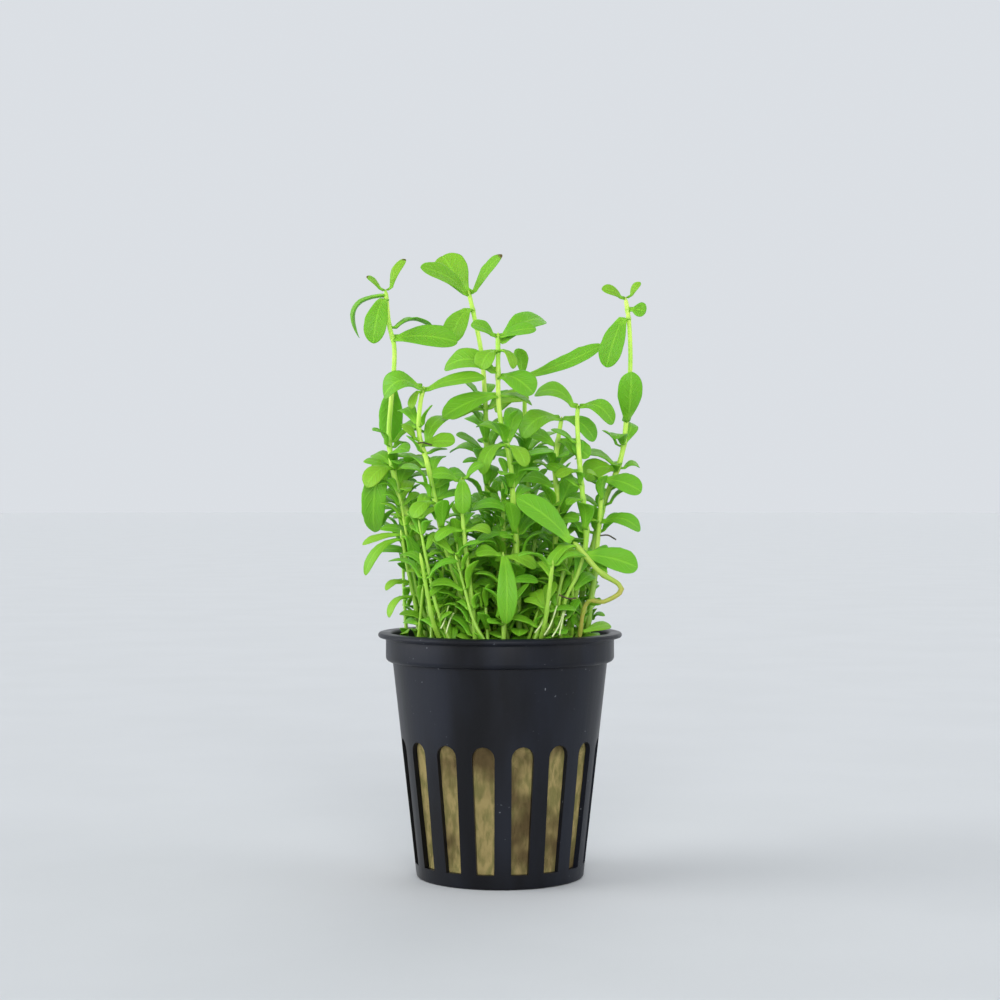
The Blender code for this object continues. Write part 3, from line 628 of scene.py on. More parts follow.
# %% Grow the young leaves and the lower pairs
for name, shoot in SHOOTS.items():
    grow_fused(f"{name}_stem", stems[name], shoot.young, taken, YOUNG_AGE)
for name, shoot in SHOOTS.items():
    pairs = lower_pairs(name, stems[name], shoot)
    grow_fused(f"{name}_stem", stems[name], pairs, taken, PAIR_AGE)
print(sum(map(len, blades.values())), "leaves with the young ones and the lower pairs")

# %% Grow the tufts
for name, tuft in TUFTS.items():
    draws = random.Random(name)
    shoots = side_shoots(tuft, taken, draws)
    taken += [tree_of(tube(stem)) for stem in shoots]
    stalks[name] += shoots
    for stem in shoots:
        low, high = WOOL_TOP + FIRST_PAIR, stem.path[-1].z / MM
        leaves = pairs_up(stem, low, high, TUFT_PAIR_STEP, (TUFT_LENGTH, TUFT_WIDTH), draws)
        grow_fused(name, stem, leaves, taken, TUFT_AGE)
print(sum(map(len, blades.values())), "leaves with the tufts")

# %% [markdown]
# ## Filling in
#
# In the lower half the real plant is so dense that hardly any light comes through, with more small
# leaves than solids can hold. So every stem gets further pairs, and thin twigs grow round every foot.
# The twigs and the shoots of the tufts carry narrow leaves. All of it is taken only where it is free
# and where the solid that it belongs to reaches as far, so that the fine plant keeps the plain
# one's outline.

# %% Settings for the filling in
BOX_MARGIN = 0.5
LOW_REACH, LOW_ZONE = 20.5, 72.0
UPWARD = (0, 60)
TWIG_FOOT_RADIUS = 0.5
TWIG_TIP_RADIUS = 0.28
TWIG_STEP = 3.6
TWIG_SIZES = ((6.8, 2.7), (5.0, 2.0))
TWIG_TRIES = 140
TWIG_SCATTER = 4.5
TWIG_SPREAD = 9.0
TWIG_HEIGHTS = (0.4, 1.0)
TWIG_AGE, FILL_AGE = 0.3, 0.6
FILL_LOW = 3.0
FILL_TOP = 89.0
HIGH_FILLS = {"left_front": 97.0, "centre_left_tall": 98.0, "centre_front": 91.0}
FILL_STEP = 4.6
FILL_SIZES = ((8.6, 3.9), (6.2, 2.8))


# %% What the twigs and the filling share
def reaches(node, point):
    """Whether a point lies in the box of a node, give or take a margin, and low down in the pot."""
    low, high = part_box(node)
    margin = BOX_MARGIN * MM
    if point.z < LOW_ZONE * MM and math.hypot(point.x, point.y) > LOW_REACH * MM:
        return False
    return all(a - margin <= p <= b + margin for a, p, b in zip(low, point, high))


def grow_extra(node, stem, low, high, step, size, draws, taken, age):
    """Pairs of fused leaves, but only those whose tips stay where the node's solid reaches."""
    leaves = pairs_up(stem, low, high, step, size, draws, lifts=UPWARD)
    inside = [leaf for leaf in leaves if reaches(node, vector(*leaf.tip))]
    grow_fused(node, stem, inside, taken, age)


# %% Add the twigs
def grow_twigs(node, foot, height, taken):
    """Thin shoots round a foot, as many as find room in so many tries."""
    draws = random.Random(f"{node} twigs")
    for _ in range(TWIG_TRIES):
        spot = [value + draws.uniform(-TWIG_SCATTER, TWIG_SCATTER) for value in foot]
        heading, rise = draws.uniform(0, 360), height * draws.uniform(*TWIG_HEIGHTS)
        stem = side_shoot(Tuft(spot, heading, rise, TWIG_SPREAD), 0, draws)
        stem = stem._replace(foot_radius=TWIG_FOOT_RADIUS, tip_radius=TWIG_TIP_RADIUS)
        if reaches(node, stem.path[-1]) and is_clear(tube(stem), taken):
            taken.append(tree_of(tube(stem)))
            stalks[node].append(stem)


feet = {name: (tuft.foot, tuft.height) for name, tuft in TUFTS.items()}
for name, shoot in SHOOTS.items():
    feet[f"{name}_stem"] = shoot.foot, min(stems[name].path[-1].z / MM, FILL_TOP) - WOOL_TOP
for node, (foot, height) in feet.items():
    grow_twigs(node, foot, height, taken)
for size in TWIG_SIZES:
    for node in feet:
        for twig in stalks[node]:
            draws = random.Random(f"{node} {size} {twig.path[-1].x:.4f}")
            high = twig.path[-1].z / MM + 1
            grow_extra(node, twig, WOOL_TOP + FILL_LOW, high, TWIG_STEP, size, draws, taken, TWIG_AGE)
print(sum(map(len, stalks.values())), "side stems")
print(sum(map(len, blades.values())), "leaves with the twigs")

# %% Fill in along the stems
for size in FILL_SIZES:
    for name, stem in stems.items():
        draws = random.Random(f"{name} fill {size}")
        high = min(stem.path[-1].z / MM - FILL_STEP, HIGH_FILLS.get(name, FILL_TOP))
        low = WOOL_TOP + FILL_LOW
        grow_extra(f"{name}_stem", stem, low, high, FILL_STEP, size, draws, taken, FILL_AGE)
print(sum(map(len, blades.values())), "leaves after filling in")


# %% [markdown]
# ## Writing node trees
#
# Both geometry and materials are made of node trees here. Clicking them together is easy and
# writing them is long, so a few small helpers do it. The first adds a node and wires its inputs: an
# input is a plain value or another node's output. The others stand for the sums that come up again
# and again, with numbers and with vectors.

# %% Helpers that write node trees
def wire(tree, socket, value):
    """Gives a socket a plain value, or links it to another node's output."""
    if isinstance(value, bpy.types.NodeSocket):
        tree.links.new(value, socket)
    else:
        socket.default_value = value


def add(tree, kind, inputs=(), **settings):
    """A node of this kind, with its settings and with inputs given by socket name or number."""
    made = tree.nodes.new(kind)
    for setting, value in settings.items():
        setattr(made, setting, value)
    for socket, value in dict(inputs).items():
        wire(tree, made.inputs[socket], value)
    return made


def number(tree, operation, *values):
    """A number worked out from others, such as by ADD or POWER."""
    return add(tree, "ShaderNodeMath", enumerate(values), operation=operation).outputs[0]


def product(tree, first, *others):
    """All the numbers multiplied."""
    for other in others:
        first = number(tree, "MULTIPLY", first, other)
    return first


def arrow(tree, operation, *values):
    """A vector worked out from others."""
    return add(tree, "ShaderNodeVectorMath", enumerate(values), operation=operation).outputs[0]


def scaled(tree, vector_in, factor):
    return add(tree, "ShaderNodeVectorMath", {0: vector_in, 3: factor}, operation="SCALE").outputs[0]


def parts_of(tree, vector_in):
    """The x, y and z of a vector."""
    return add(tree, "ShaderNodeSeparateXYZ", {0: vector_in}).outputs


def between(tree, value, low, high, to_low=0.0, to_high=1.0):
    """The value taken from low..high to to_low..to_high, with soft ends."""
    inputs = {0: value, 1: low, 2: high, 3: to_low, 4: to_high}
    return add(tree, "ShaderNodeMapRange", inputs, interpolation_type="SMOOTHSTEP").outputs[0]


# %% Helpers for the trees that make geometry
def geometry_tree(name, **sizes):
    """A tree with a geometry input and output and with named inputs, and its two end nodes."""
    tree = bpy.data.node_groups.new(name, "GeometryNodeTree")
    face = tree.interface
    face.new_socket("Geometry", in_out="INPUT", socket_type="NodeSocketGeometry")
    face.new_socket("Geometry", in_out="OUTPUT", socket_type="NodeSocketGeometry")
    for title, (kind, value) in sizes.items():
        socket = face.new_socket(title, in_out="INPUT", socket_type=f"NodeSocket{kind}")
        if value is not None:
            socket.default_value = value
    return tree, tree.nodes.new("NodeGroupInput").outputs, tree.nodes.new("NodeGroupOutput").inputs


def position(tree):
    """Where each point is."""
    return add(tree, "GeometryNodeInputPosition").outputs[0]


def read(tree, title, kind="FLOAT"):
    """The values that a point brings along under this name."""
    return add(tree, "GeometryNodeInputNamedAttribute", {"Name": title}, data_type=kind).outputs[0]


def keep(tree, geometry, title, value):
    """Writes a number on every point under this name."""
    inputs = {"Geometry": geometry, "Name": title, "Value": value}
    return add(tree, "GeometryNodeStoreNamedAttribute", inputs, data_type="FLOAT").outputs[0]


def copies_on(tree, points, shape, **how):
    """A copy of a shape on every point, made real."""
    inputs = {"Points": points, "Instance": shape, **how}
    copies = add(tree, "GeometryNodeInstanceOnPoints", inputs).outputs[0]
    return add(tree, "GeometryNodeRealizeInstances", {"Geometry": copies}).outputs[0]


def finished(tree, geometry, material, outputs):
    """Every tree ends like this: instances realized, smooth faces, and a material."""
    real = add(tree, "GeometryNodeRealizeInstances", {"Geometry": geometry}).outputs[0]
    smooth = add(tree, "GeometryNodeSetShadeSmooth", {0: real}).outputs[0]
    painted = add(tree, "GeometryNodeSetMaterial", {"Geometry": smooth, "Material": material})
    wire(tree, outputs[0], painted.outputs[0])


# %% [markdown]
# A tree runs as a modifier. Its inputs are set by the identifiers of their sockets before anything
# is evaluated. The result is then copied into a plain mesh at the origin, and the modifier goes with
# the object that carried it, because the finished model holds no live trees and no instances.

# %% Run a tree and keep a plain mesh
def linked(name, data):
    """A new object in the scene."""
    made = bpy.data.objects.new(name, data)
    bpy.context.scene.collection.objects.link(made)
    return made


def grown_mesh(name, source, tree, **sizes):
    """The plain object that a tree makes of the source mesh."""
    carrier = linked(name, source)
    modifier = carrier.modifiers.new("grow", "NODES")
    modifier.node_group = tree
    for socket in tree.interface.items_tree:
        if socket.name in sizes:
            modifier[socket.identifier] = sizes[socket.name]
    graph = bpy.context.evaluated_depsgraph_get()
    mesh = bpy.data.meshes.new_from_object(carrier.evaluated_get(graph))
    bpy.data.objects.remove(carrier)
    mesh.name = name
    return linked(name, mesh)


def fit(piece, slot, *nodes):
    """A finished piece takes its nodes' place in the frame."""
    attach(piece, "root")
    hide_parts(*nodes)


def new_mesh(name, points, edges=(), faces=()):
    mesh = bpy.data.meshes.new(name)
    mesh.from_pydata([tuple(point) for point in points], list(edges), list(faces))
    return mesh


def spread(mesh, title, values):
    """Writes one number for each point of a mesh."""
    mesh.attributes.new(title, "FLOAT", "POINT").data.foreach_set("value", list(values))


def spread_vectors(mesh, title, values):
    """Writes one vector for each point of a mesh."""
    flat = [part for value in values for part in value]
    mesh.attributes.new(title, "FLOAT_VECTOR", "POINT").data.foreach_set("vector", flat)


# %% [markdown]
# ## The leaf material
#
# A bacopa leaf is fleshy and bright, with a matt gloss. Its colour drifts over the blade in soft
# patches, the midrib is pale, and faint side veins run out towards the edge. The underside is
# duller. Light shines a little way into it, which subsurface scattering gives. Each leaf brings its
# own age, which runs from a yellow-green youth to a deeper green, so one material serves all.

# %% Helpers for materials
NOISE_SPAN = 0.3, 0.7


def new_material(name, **values):
    """A material with its tree and shader, whose plain values are set on the shader itself."""
    material = bpy.data.materials.new(name)
    material.use_nodes = True
    shader = material.node_tree.nodes["Principled BSDF"]
    for title, value in values.items():
        shader.inputs[title.replace("_", " ")].default_value = value
    return material, material.node_tree, shader


def place(tree):
    """Object coordinates, which stay with the piece when it is turned."""
    return add(tree, "ShaderNodeTexCoord").outputs["Object"]


def marked(tree, title):
    """A number that the surface brings along."""
    return add(tree, "ShaderNodeAttribute", attribute_name=title).outputs["Fac"]


def noise(tree, where, scale, detail=3.0, stretch=None):
    """Soft noise of 0 to 1. A stretch below 1 draws it out along that axis."""
    if stretch:
        where = arrow(tree, "MULTIPLY", where, stretch)
    inputs = {"Vector": where, "Scale": scale, "Detail": detail}
    return add(tree, "ShaderNodeTexNoise", inputs).outputs["Fac"]


def mixed(tree, share, first, second):
    """One colour turned into another by a share of 0 to 1."""
    made = add(tree, "ShaderNodeMix", {0: share}, data_type="RGBA")
    for socket, colour in ((made.inputs[6], first), (made.inputs[7], second)):
        wire(tree, socket, colour if isinstance(colour, bpy.types.NodeSocket) else (*colour, 1.0))
    return made.outputs[2]


def bumped(tree, shader, height, distance, strength):
    inputs = {"Height": height, "Distance": distance, "Strength": strength}
    wire(tree, shader.inputs["Normal"], add(tree, "ShaderNodeBump", inputs).outputs[0])


# %% The colours and sizes of the leaf's pattern
LEAF_BRIGHT = (0.150, 0.395, 0.016)
LEAF_DEEP = (0.130, 0.40, 0.019)
LEAF_YOUNG = (0.21, 0.44, 0.022)
LEAF_RIB = (0.25, 0.58, 0.035)
LEAF_UNDER = (0.14, 0.43, 0.015)
LEAF_BROWN = (0.10, 0.055, 0.012)
LEAF_GLOW_REACH = (0.4, 1.0, 0.05)
LEAF_ROUGHNESS = 0.42, 0.58
LEAF_MARKS = ("along", "across", "side", "age", "seed", "brown")
PATCH_SCALE, GLOSS_SCALE = 260.0, 900.0
PATCH_SHARE, SEED_SHARE = 0.9, 0.5
DRIFT_EDGES, RIPENING, DEEPENING, UNDER_EDGES = (0.35, 1.05), (0.0, 0.5), (-0.1, 0.9), (0.1, -0.5)
UNDER_SHARE, RIB_SHARE, VEIN_SHARE, NECK_SHARE = 0.55, 0.55, 0.22, 0.7
RIB_HALF_WIDTH = 0.03, 0.13
NECK_END = 0.22
BROWN_START, BROWN_FRAY = (0.95, 1.01), 0.10
VEINS_PER_LEAF = 7.0
VEIN_SLANT = 0.30
VEIN_WIDTH = 0.16
VEIN_END = 0.35, 0.95
VEIN_BUMP = 0.12 * MM, 0.6


# %% The leaf material
def leaf_veins(tree, along, aside):
    """Lines that leave the midrib at a slant: 1 on a vein and 0 between."""
    slid = number(tree, "MULTIPLY_ADD", aside, -VEIN_SLANT, along)
    wave = number(tree, "PINGPONG", product(tree, slid, VEINS_PER_LEAF), 0.5)
    line = between(tree, wave, 0.0, VEIN_WIDTH, 1.0, 0.0)
    return product(tree, line, between(tree, aside, *VEIN_END, 1.0, 0.0))


def leaf_greens(tree, patches, mark):
    """From a young green to a bright one, with deeper patches where the leaf is old, and duller below."""
    age = mark["age"]
    drift = number(tree, "MULTIPLY_ADD", mark["seed"], SEED_SHARE, product(tree, patches, PATCH_SHARE))
    deep = product(tree, between(tree, drift, *DRIFT_EDGES), between(tree, age, *DEEPENING))
    colour = mixed(tree, between(tree, age, *RIPENING), LEAF_YOUNG, LEAF_BRIGHT)
    colour = mixed(tree, deep, colour, LEAF_DEEP)
    return mixed(tree, between(tree, mark["side"], *UNDER_EDGES, 0.0, UNDER_SHARE), colour, LEAF_UNDER)


def leaf_material():
    material, tree, shader = new_material(
        "leaf_green", Subsurface_Weight=0.16, Subsurface_Scale=1.0 * MM, Subsurface_Radius=LEAF_GLOW_REACH,
        Specular_IOR_Level=0.24,
    )
    mark = {title: marked(tree, f"leaf_{title}") for title in LEAF_MARKS}
    where = place(tree)
    patches = noise(tree, where, PATCH_SCALE)
    aside = number(tree, "ABSOLUTE", mark["across"])
    rib = between(tree, aside, *RIB_HALF_WIDTH, RIB_SHARE, 0.0)
    veins = leaf_veins(tree, mark["along"], aside)
    pale = number(tree, "MAXIMUM", rib, product(tree, veins, VEIN_SHARE))
    colour = mixed(tree, pale, leaf_greens(tree, patches, mark), LEAF_RIB)
    colour = mixed(tree, between(tree, mark["along"], 0.0, NECK_END, NECK_SHARE, 0.0), colour, LEAF_RIB)
    frayed = number(tree, "MULTIPLY_ADD", patches, BROWN_FRAY, mark["along"])
    tip = product(tree, mark["brown"], between(tree, frayed, *BROWN_START))
    wire(tree, shader.inputs["Base Color"], mixed(tree, tip, colour, LEAF_BROWN))
    gloss = noise(tree, where, GLOSS_SCALE)
    wire(tree, shader.inputs["Roughness"], between(tree, gloss, *NOISE_SPAN, *LEAF_ROUGHNESS))
    relief = number(tree, "SUBTRACT", 1.0, number(tree, "MAXIMUM", rib, veins))
    bumped(tree, shader, relief, *VEIN_BUMP)
    return material


LEAF = leaf_material()


# %% [markdown]
# ## The stem, the plastic and the wool
#
# Stems are paler than leaves, a watery yellow-green, with fine lengthwise streaks and a darker ring
# at each pair of leaves. Towards the foot they are painted darker and greener, as painted shade of
# the dense growth low down. The plastic is black with a bluish sheen and a little pale dust. The wool
# is yellow-brown and fibrous, and it darkens to brown where it is wet. Each pattern is laid in Object
# coordinates, so it stays put when the model is turned.

# %% The stem material
STEM_PALE = (0.60, 0.84, 0.12)
STEM_GREEN = (0.38, 0.70, 0.05)
# The dark green of the rings at the joints, also used as the painted shade at the foot.
STEM_RING_AND_SHADE = (0.24, 0.47, 0.04)
STEM_OLD = (0.46, 0.40, 0.08)
STEM_GLOW_REACH = (0.7, 1.0, 0.2)
STEM_ROUGHNESS = 0.36, 0.5
STEM_PATCH_SCALE, STREAK_SCALE = 120.0, 1400.0
STREAK_STRETCH = (1.0, 1.0, 0.12)
STEM_PATCH_EDGES, STREAK_EDGES = (0.35, 0.7), (0.45, 0.75)
# How strongly the foot is painted with shade, and the heights over which that painted shade fades out.
STREAK_SHARE, RING_SHARE, FOOT_SHADE_SHARE = 0.35, 0.6, 0.80
SHADED_FOOT = 50 * MM, 90 * MM
OLD_STREAKS = 0.3, 0.6, 0.55, 1.0
STREAK_BUMP = 0.08 * MM, 0.5


def stem_material():
    material, tree, shader = new_material(
        "stem_green", Subsurface_Weight=0.25, Subsurface_Scale=1.5 * MM, Subsurface_Radius=STEM_GLOW_REACH
    )
    where = place(tree)
    streaks = noise(tree, where, STREAK_SCALE, stretch=STREAK_STRETCH)
    patches = noise(tree, where, STEM_PATCH_SCALE)
    colour = mixed(tree, between(tree, patches, *STEM_PATCH_EDGES), STEM_PALE, STEM_GREEN)
    colour = mixed(tree, between(tree, streaks, *STREAK_EDGES, 0.0, STREAK_SHARE), colour, STEM_GREEN)
    colour = mixed(tree, product(tree, marked(tree, "stem_ring"), RING_SHARE), colour, STEM_RING_AND_SHADE)
    height = parts_of(tree, where)[2]
    # Painted shade: darker and greener towards the foot, where the dense growth keeps the light off.
    colour = mixed(tree, between(tree, height, *SHADED_FOOT, FOOT_SHADE_SHARE, 0.0), colour, STEM_RING_AND_SHADE)
    old = product(tree, marked(tree, "stem_old"), between(tree, streaks, *OLD_STREAKS))
    wire(tree, shader.inputs["Base Color"], mixed(tree, old, colour, STEM_OLD))
    wire(tree, shader.inputs["Roughness"], between(tree, streaks, *NOISE_SPAN, *STEM_ROUGHNESS))
    bumped(tree, shader, streaks, *STREAK_BUMP)
    return material


STEM = stem_material()

# %% The plastic
PLASTIC_BLACK = (0.0018, 0.002, 0.0035)
PLASTIC_BLUE = (0.006, 0.008, 0.015)
PLASTIC_DUST = (0.16, 0.17, 0.19)
PLASTIC_ROUGHNESS = 0.30, 0.46
FLOW_SCALE, DUST_SCALE, GRAIN_SCALE = 90.0, 1500.0, 2500.0
FLOW_STRETCH = (1.0, 1.0, 0.25)
FLOW_EDGES, DUSTY_FLOW, DUST_EDGES = (0.35, 0.7), (0.5, 0.65), (0.74, 0.80)
GRAIN_SHARE = 0.08
RIPPLE_BUMP = 0.5 * MM, 0.35


def plastic_material():
    material, tree, shader = new_material("pot_plastic", Specular_IOR_Level=0.25)
    where = place(tree)
    flow = noise(tree, where, FLOW_SCALE, 4.0, FLOW_STRETCH)
    specks = between(tree, noise(tree, where, DUST_SCALE, 1.0), *DUST_EDGES)
    dust = product(tree, specks, between(tree, flow, *DUSTY_FLOW))
    colour = mixed(tree, between(tree, flow, *FLOW_EDGES), PLASTIC_BLACK, PLASTIC_BLUE)
    wire(tree, shader.inputs["Base Color"], mixed(tree, dust, colour, PLASTIC_DUST))
    wire(tree, shader.inputs["Roughness"], between(tree, flow, *NOISE_SPAN, *PLASTIC_ROUGHNESS))
    ripples = number(tree, "MULTIPLY_ADD", noise(tree, where, GRAIN_SCALE, 2.0), GRAIN_SHARE, flow)
    bumped(tree, shader, ripples, *RIPPLE_BUMP)
    return material


PLASTIC = plastic_material()

# %% The wool
WOOL_YELLOW = (0.34, 0.27, 0.11)
WOOL_OLIVE = (0.19, 0.17, 0.06)
WOOL_BROWN = (0.065, 0.04, 0.018)
DAMP_SCALE, STRAND_SCALE = 75.0, 900.0
DAMP_EDGES, STRAND_EDGES = (0.48, 0.68), (0.35, 0.65)
DAMP_SHARE = 0.85
STRAND_STRETCH = (1.0, 1.0, 0.35)
STRAND_BUMP = 0.6 * MM, 0.9


def wool_material():
    material, tree, shader = new_material("damp_wool", Roughness=0.95, Specular_IOR_Level=0.2)
    where = place(tree)
    damp = noise(tree, where, DAMP_SCALE)
    strands = noise(tree, where, STRAND_SCALE, 4.0, STRAND_STRETCH)
    colour = mixed(tree, between(tree, strands, *STRAND_EDGES), WOOL_OLIVE, WOOL_YELLOW)
    colour = mixed(tree, between(tree, damp, *DAMP_EDGES, 0.0, DAMP_SHARE), colour, WOOL_BROWN)
    wire(tree, shader.inputs["Base Color"], colour)
    bumped(tree, shader, strands, *STRAND_BUMP)
    return material


WOOL = wool_material()
print("materials:", ", ".join(material.name for material in (LEAF, STEM, PLASTIC, WOOL)))


# %% [markdown]
# ## The fine leaf, a rule in nodes
#
# All blades follow one rule, so one tree makes them. It takes a mesh with a lone point for each leaf.
# On every point it sets the same small tube, then moves each of the tube's points to its place on
# that leaf's bent line. How far it is along the tube says where it sits between start and tip. Its
# angle round the tube says how far it is from the midrib and whether it lies above or below. A closed
# tube makes a leaf with real thickness, round edges and no seam to close. The outline is a curve
# whose points are worked out from the same formula as the solids.

# %% The outline as a curve in the tree
OUTLINE_STATIONS = (0.08, 0.18, 0.3, 0.42, 0.54, 0.66, 0.76, 0.85, 0.92, 0.965, 0.99)
TIP_SHARE = 0.05


def outline_curve(tree, along):
    """Half a leaf's width at each place along it, as a share of its widest."""
    made = add(tree, "ShaderNodeFloatCurve", {"Value": along})
    curve = made.mapping.curves[0]
    for t in OUTLINE_STATIONS:
        curve.points.new(t, half_width_at(t))
    curve.points[0].location = (0.0, half_width_at(0.0))
    curve.points[-1].location = (1.0, TIP_SHARE)
    made.mapping.update()
    return made.outputs[0]


# %% Where the points of the tube go along the leaf
TIP_CROWDING = 1.7


def unit_tube(tree, inputs):
    """The small closed tube, which knows how far along and how far round each point is."""
    sizes = {"Vertices": inputs["Sides"], "Side Segments": inputs["Segments"], "Radius": 1.0, "Depth": 1.0}
    shaped = add(tree, "GeometryNodeMeshCylinder", sizes, fill_type="NGON").outputs[0]
    spot = parts_of(tree, position(tree))
    ring = product(tree, number(tree, "ADD", spot[2], 0.5), inputs["Segments"])
    for title, value in (("leaf_ring", ring), ("leaf_across", spot[0]), ("leaf_side", spot[1])):
        shaped = keep(tree, shaped, title, value)
    return shaped


def share_along(tree, inputs):
    """0 on the first two rings, which make the neck, and then crowded towards the round tip."""
    past_neck = number(tree, "MAXIMUM", number(tree, "SUBTRACT", read(tree, "leaf_ring"), 1.0), 0.0)
    share = number(tree, "DIVIDE", past_neck, number(tree, "SUBTRACT", inputs["Segments"], 1.0))
    rest = number(tree, "MAXIMUM", number(tree, "SUBTRACT", 1.0, share), 0.0)
    return number(tree, "SUBTRACT", 1.0, number(tree, "POWER", rest, TIP_CROWDING))


def bent_line(tree, along):
    """The place on the leaf's bent line, and the direction in which the line runs there."""
    start, bend, tip = (read(tree, title, "FLOAT_VECTOR") for title in ("start", "bend", "tip"))
    rest = number(tree, "SUBTRACT", 1.0, along)
    on_line = scaled(tree, start, product(tree, rest, rest))
    on_line = arrow(tree, "ADD", on_line, scaled(tree, bend, product(tree, along, rest, 2.0)))
    on_line = arrow(tree, "ADD", on_line, scaled(tree, tip, product(tree, along, along)))
    first = scaled(tree, arrow(tree, "SUBTRACT", bend, start), rest)
    second = scaled(tree, arrow(tree, "SUBTRACT", tip, bend), along)
    return on_line, arrow(tree, "NORMALIZE", arrow(tree, "ADD", first, second))


def neck_shift(tree):
    """Only the first ring moves, from the leaf's start back into its stem."""
    root, start = (read(tree, title, "FLOAT_VECTOR") for title in ("root", "start"))
    share = number(tree, "MAXIMUM", number(tree, "SUBTRACT", 1.0, read(tree, "leaf_ring")), 0.0)
    return scaled(tree, arrow(tree, "SUBTRACT", root, start), share)


# %% How wide and how thick the leaf is at each point
FINE_THICKNESS = 0.62 * MM
GROOVE = 0.16 * MM
GROOVE_HALF_WIDTH = 0.4
RUFFLE = 0.14 * MM
RUFFLE_SCALE = 420.0
RUFFLE_SWING = 4.0
SCALLOP = 0.09
GROOVE_END = 1.0, 0.7
TIP_TAPER = 1.02, 0.86
TIP_THICKNESS_SHARE = 0.25


def half_width(tree, along, swing):
    """Half the leaf's width here, a little uneven along its edge."""
    half = product(tree, read(tree, "width"), 0.5, outline_curve(tree, along))
    return product(tree, half, number(tree, "MULTIPLY_ADD", swing, 2 * SCALLOP, 1.0))


def lift_of(tree, inputs, along, half, swing):
    """How far a point lies above the bent line: lifted and ruffled edges, a body, and a groove."""
    across = read(tree, "leaf_across")
    aside = product(tree, across, across)
    cup = product(tree, half, BLADE_CUP, aside)
    thin = number(tree, "MULTIPLY_ADD", along, -BLADE_THINNING, 1.0)
    thin = product(tree, thin, between(tree, along, *TIP_TAPER, TIP_THICKNESS_SHARE, 1.0))
    body = product(tree, inputs["Thickness"], 0.5, thin, read(tree, "leaf_side"))
    wave = product(tree, inputs["Ruffle"], aside, swing, RUFFLE_SWING)
    middle = between(tree, number(tree, "ABSOLUTE", across), 0.0, GROOVE_HALF_WIDTH, 1.0, 0.0)
    groove = product(tree, inputs["Groove"], middle, between(tree, along, *GROOVE_END))
    raised = number(tree, "ADD", number(tree, "ADD", cup, body), wave)
    return number(tree, "SUBTRACT", raised, groove)


# %% The tree that grows blades
GROWN_FACES = {"Segments": 16, "Sides": 16}
SMALL_FACES = {"Segments": 9, "Sides": 10}


def leaf_tree():
    tree, inputs, outputs = geometry_tree(
        "grow_blades", Segments=("Int", 16), Sides=("Int", 16),
        Thickness=("Float", FINE_THICKNESS), Groove=("Float", GROOVE), Ruffle=("Float", RUFFLE),
        Material=("Material", None),
    )
    real = copies_on(tree, inputs[0], unit_tube(tree, inputs))
    real = keep(tree, real, "leaf_along", share_along(tree, inputs))
    along = read(tree, "leaf_along")
    on_line, heading = bent_line(tree, along)
    uneven = add(tree, "ShaderNodeTexNoise", {"Vector": on_line, "Scale": RUFFLE_SCALE, "Detail": 1.0})
    swing = number(tree, "SUBTRACT", uneven.outputs["Fac"], 0.5)
    half = half_width(tree, along, swing)
    sideways = read(tree, "across", "FLOAT_VECTOR")
    out = scaled(tree, sideways, product(tree, half, read(tree, "leaf_across")))
    upward = arrow(tree, "CROSS_PRODUCT", sideways, heading)
    up = scaled(tree, upward, lift_of(tree, inputs, along, half, swing))
    spot = arrow(tree, "ADD", arrow(tree, "ADD", on_line, out), up)
    spot = arrow(tree, "ADD", spot, neck_shift(tree))
    shaped = add(tree, "GeometryNodeSetPosition", {"Geometry": real, "Position": spot})
    finished(tree, shaped.outputs[0], inputs["Material"], outputs)
    return tree


BLADES = leaf_tree()
print("blade tree:", len(BLADES.nodes), "nodes")

# %% Grow the fine leaves of one node
BROWN_TIPS = {"left_tall_stem": (0, 1), "centre_left_tall_leaf_3": (0,)}
AGE_SPREAD = 0.5
FUSED_SLIMNESS, SLIM_AGE = 0.85, 0.65


def leaf_points(name, leaves):
    """A mesh with one lone point for each leaf, which carries what the tree needs to know."""
    mesh = new_mesh(name, [leaf.start for leaf in leaves])
    for title in ("root", "start", "bend", "tip", "across"):
        spread_vectors(mesh, title, [getattr(leaf, title) for leaf in leaves])
    spread(mesh, "width", [leaf.width * (FUSED_SLIMNESS if leaf.age > SLIM_AGE else 1.0) for leaf in leaves])
    spread(mesh, "leaf_seed", [leaf.seed for leaf in leaves])
    spread(mesh, "leaf_age", [leaf.age + AGE_SPREAD * (leaf.seed - 0.5) for leaf in leaves])
    brown = BROWN_TIPS.get(name, ())
    spread(mesh, "leaf_brown", [float(k in brown) for k in range(len(leaves))])
    return mesh


def fine_leaves(node, title, faces):
    piece = grown_mesh(title, leaf_points(node, blades[node]), BLADES, Material=LEAF, **faces)
    fit(piece, "leaf", node)
    return len(piece.data.polygons)


faces = 0
for node in sorted(blades):
    if "_leaf_" in node:
        faces += fine_leaves(node, f"{node}_blade", GROWN_FACES)
    elif blades[node]:
        faces += fine_leaves(node, f"{node}_leaves", SMALL_FACES)
print("fine leaves:", faces, "faces")


# %% [markdown]
# ## The fine stems
#
# A stem is a tube that follows a path, which a node tree does by sweeping a circle along a curve.
# The radius is written on each point of the path. It tapers upwards, and it swells where a pair of
# leaves sits, as the joints of a bacopa stem do. At its end a stem closes in a small blunt bud.

# %% The tree that sweeps a circle along every path
SWEEP_SIDES = 12


def sweep(tree, path, profile, **how):
    """A profile swept along a path, with closed ends."""
    inputs = {"Curve": path, "Profile Curve": profile, "Fill Caps": True, **how}
    return add(tree, "GeometryNodeCurveToMesh", inputs).outputs[0]


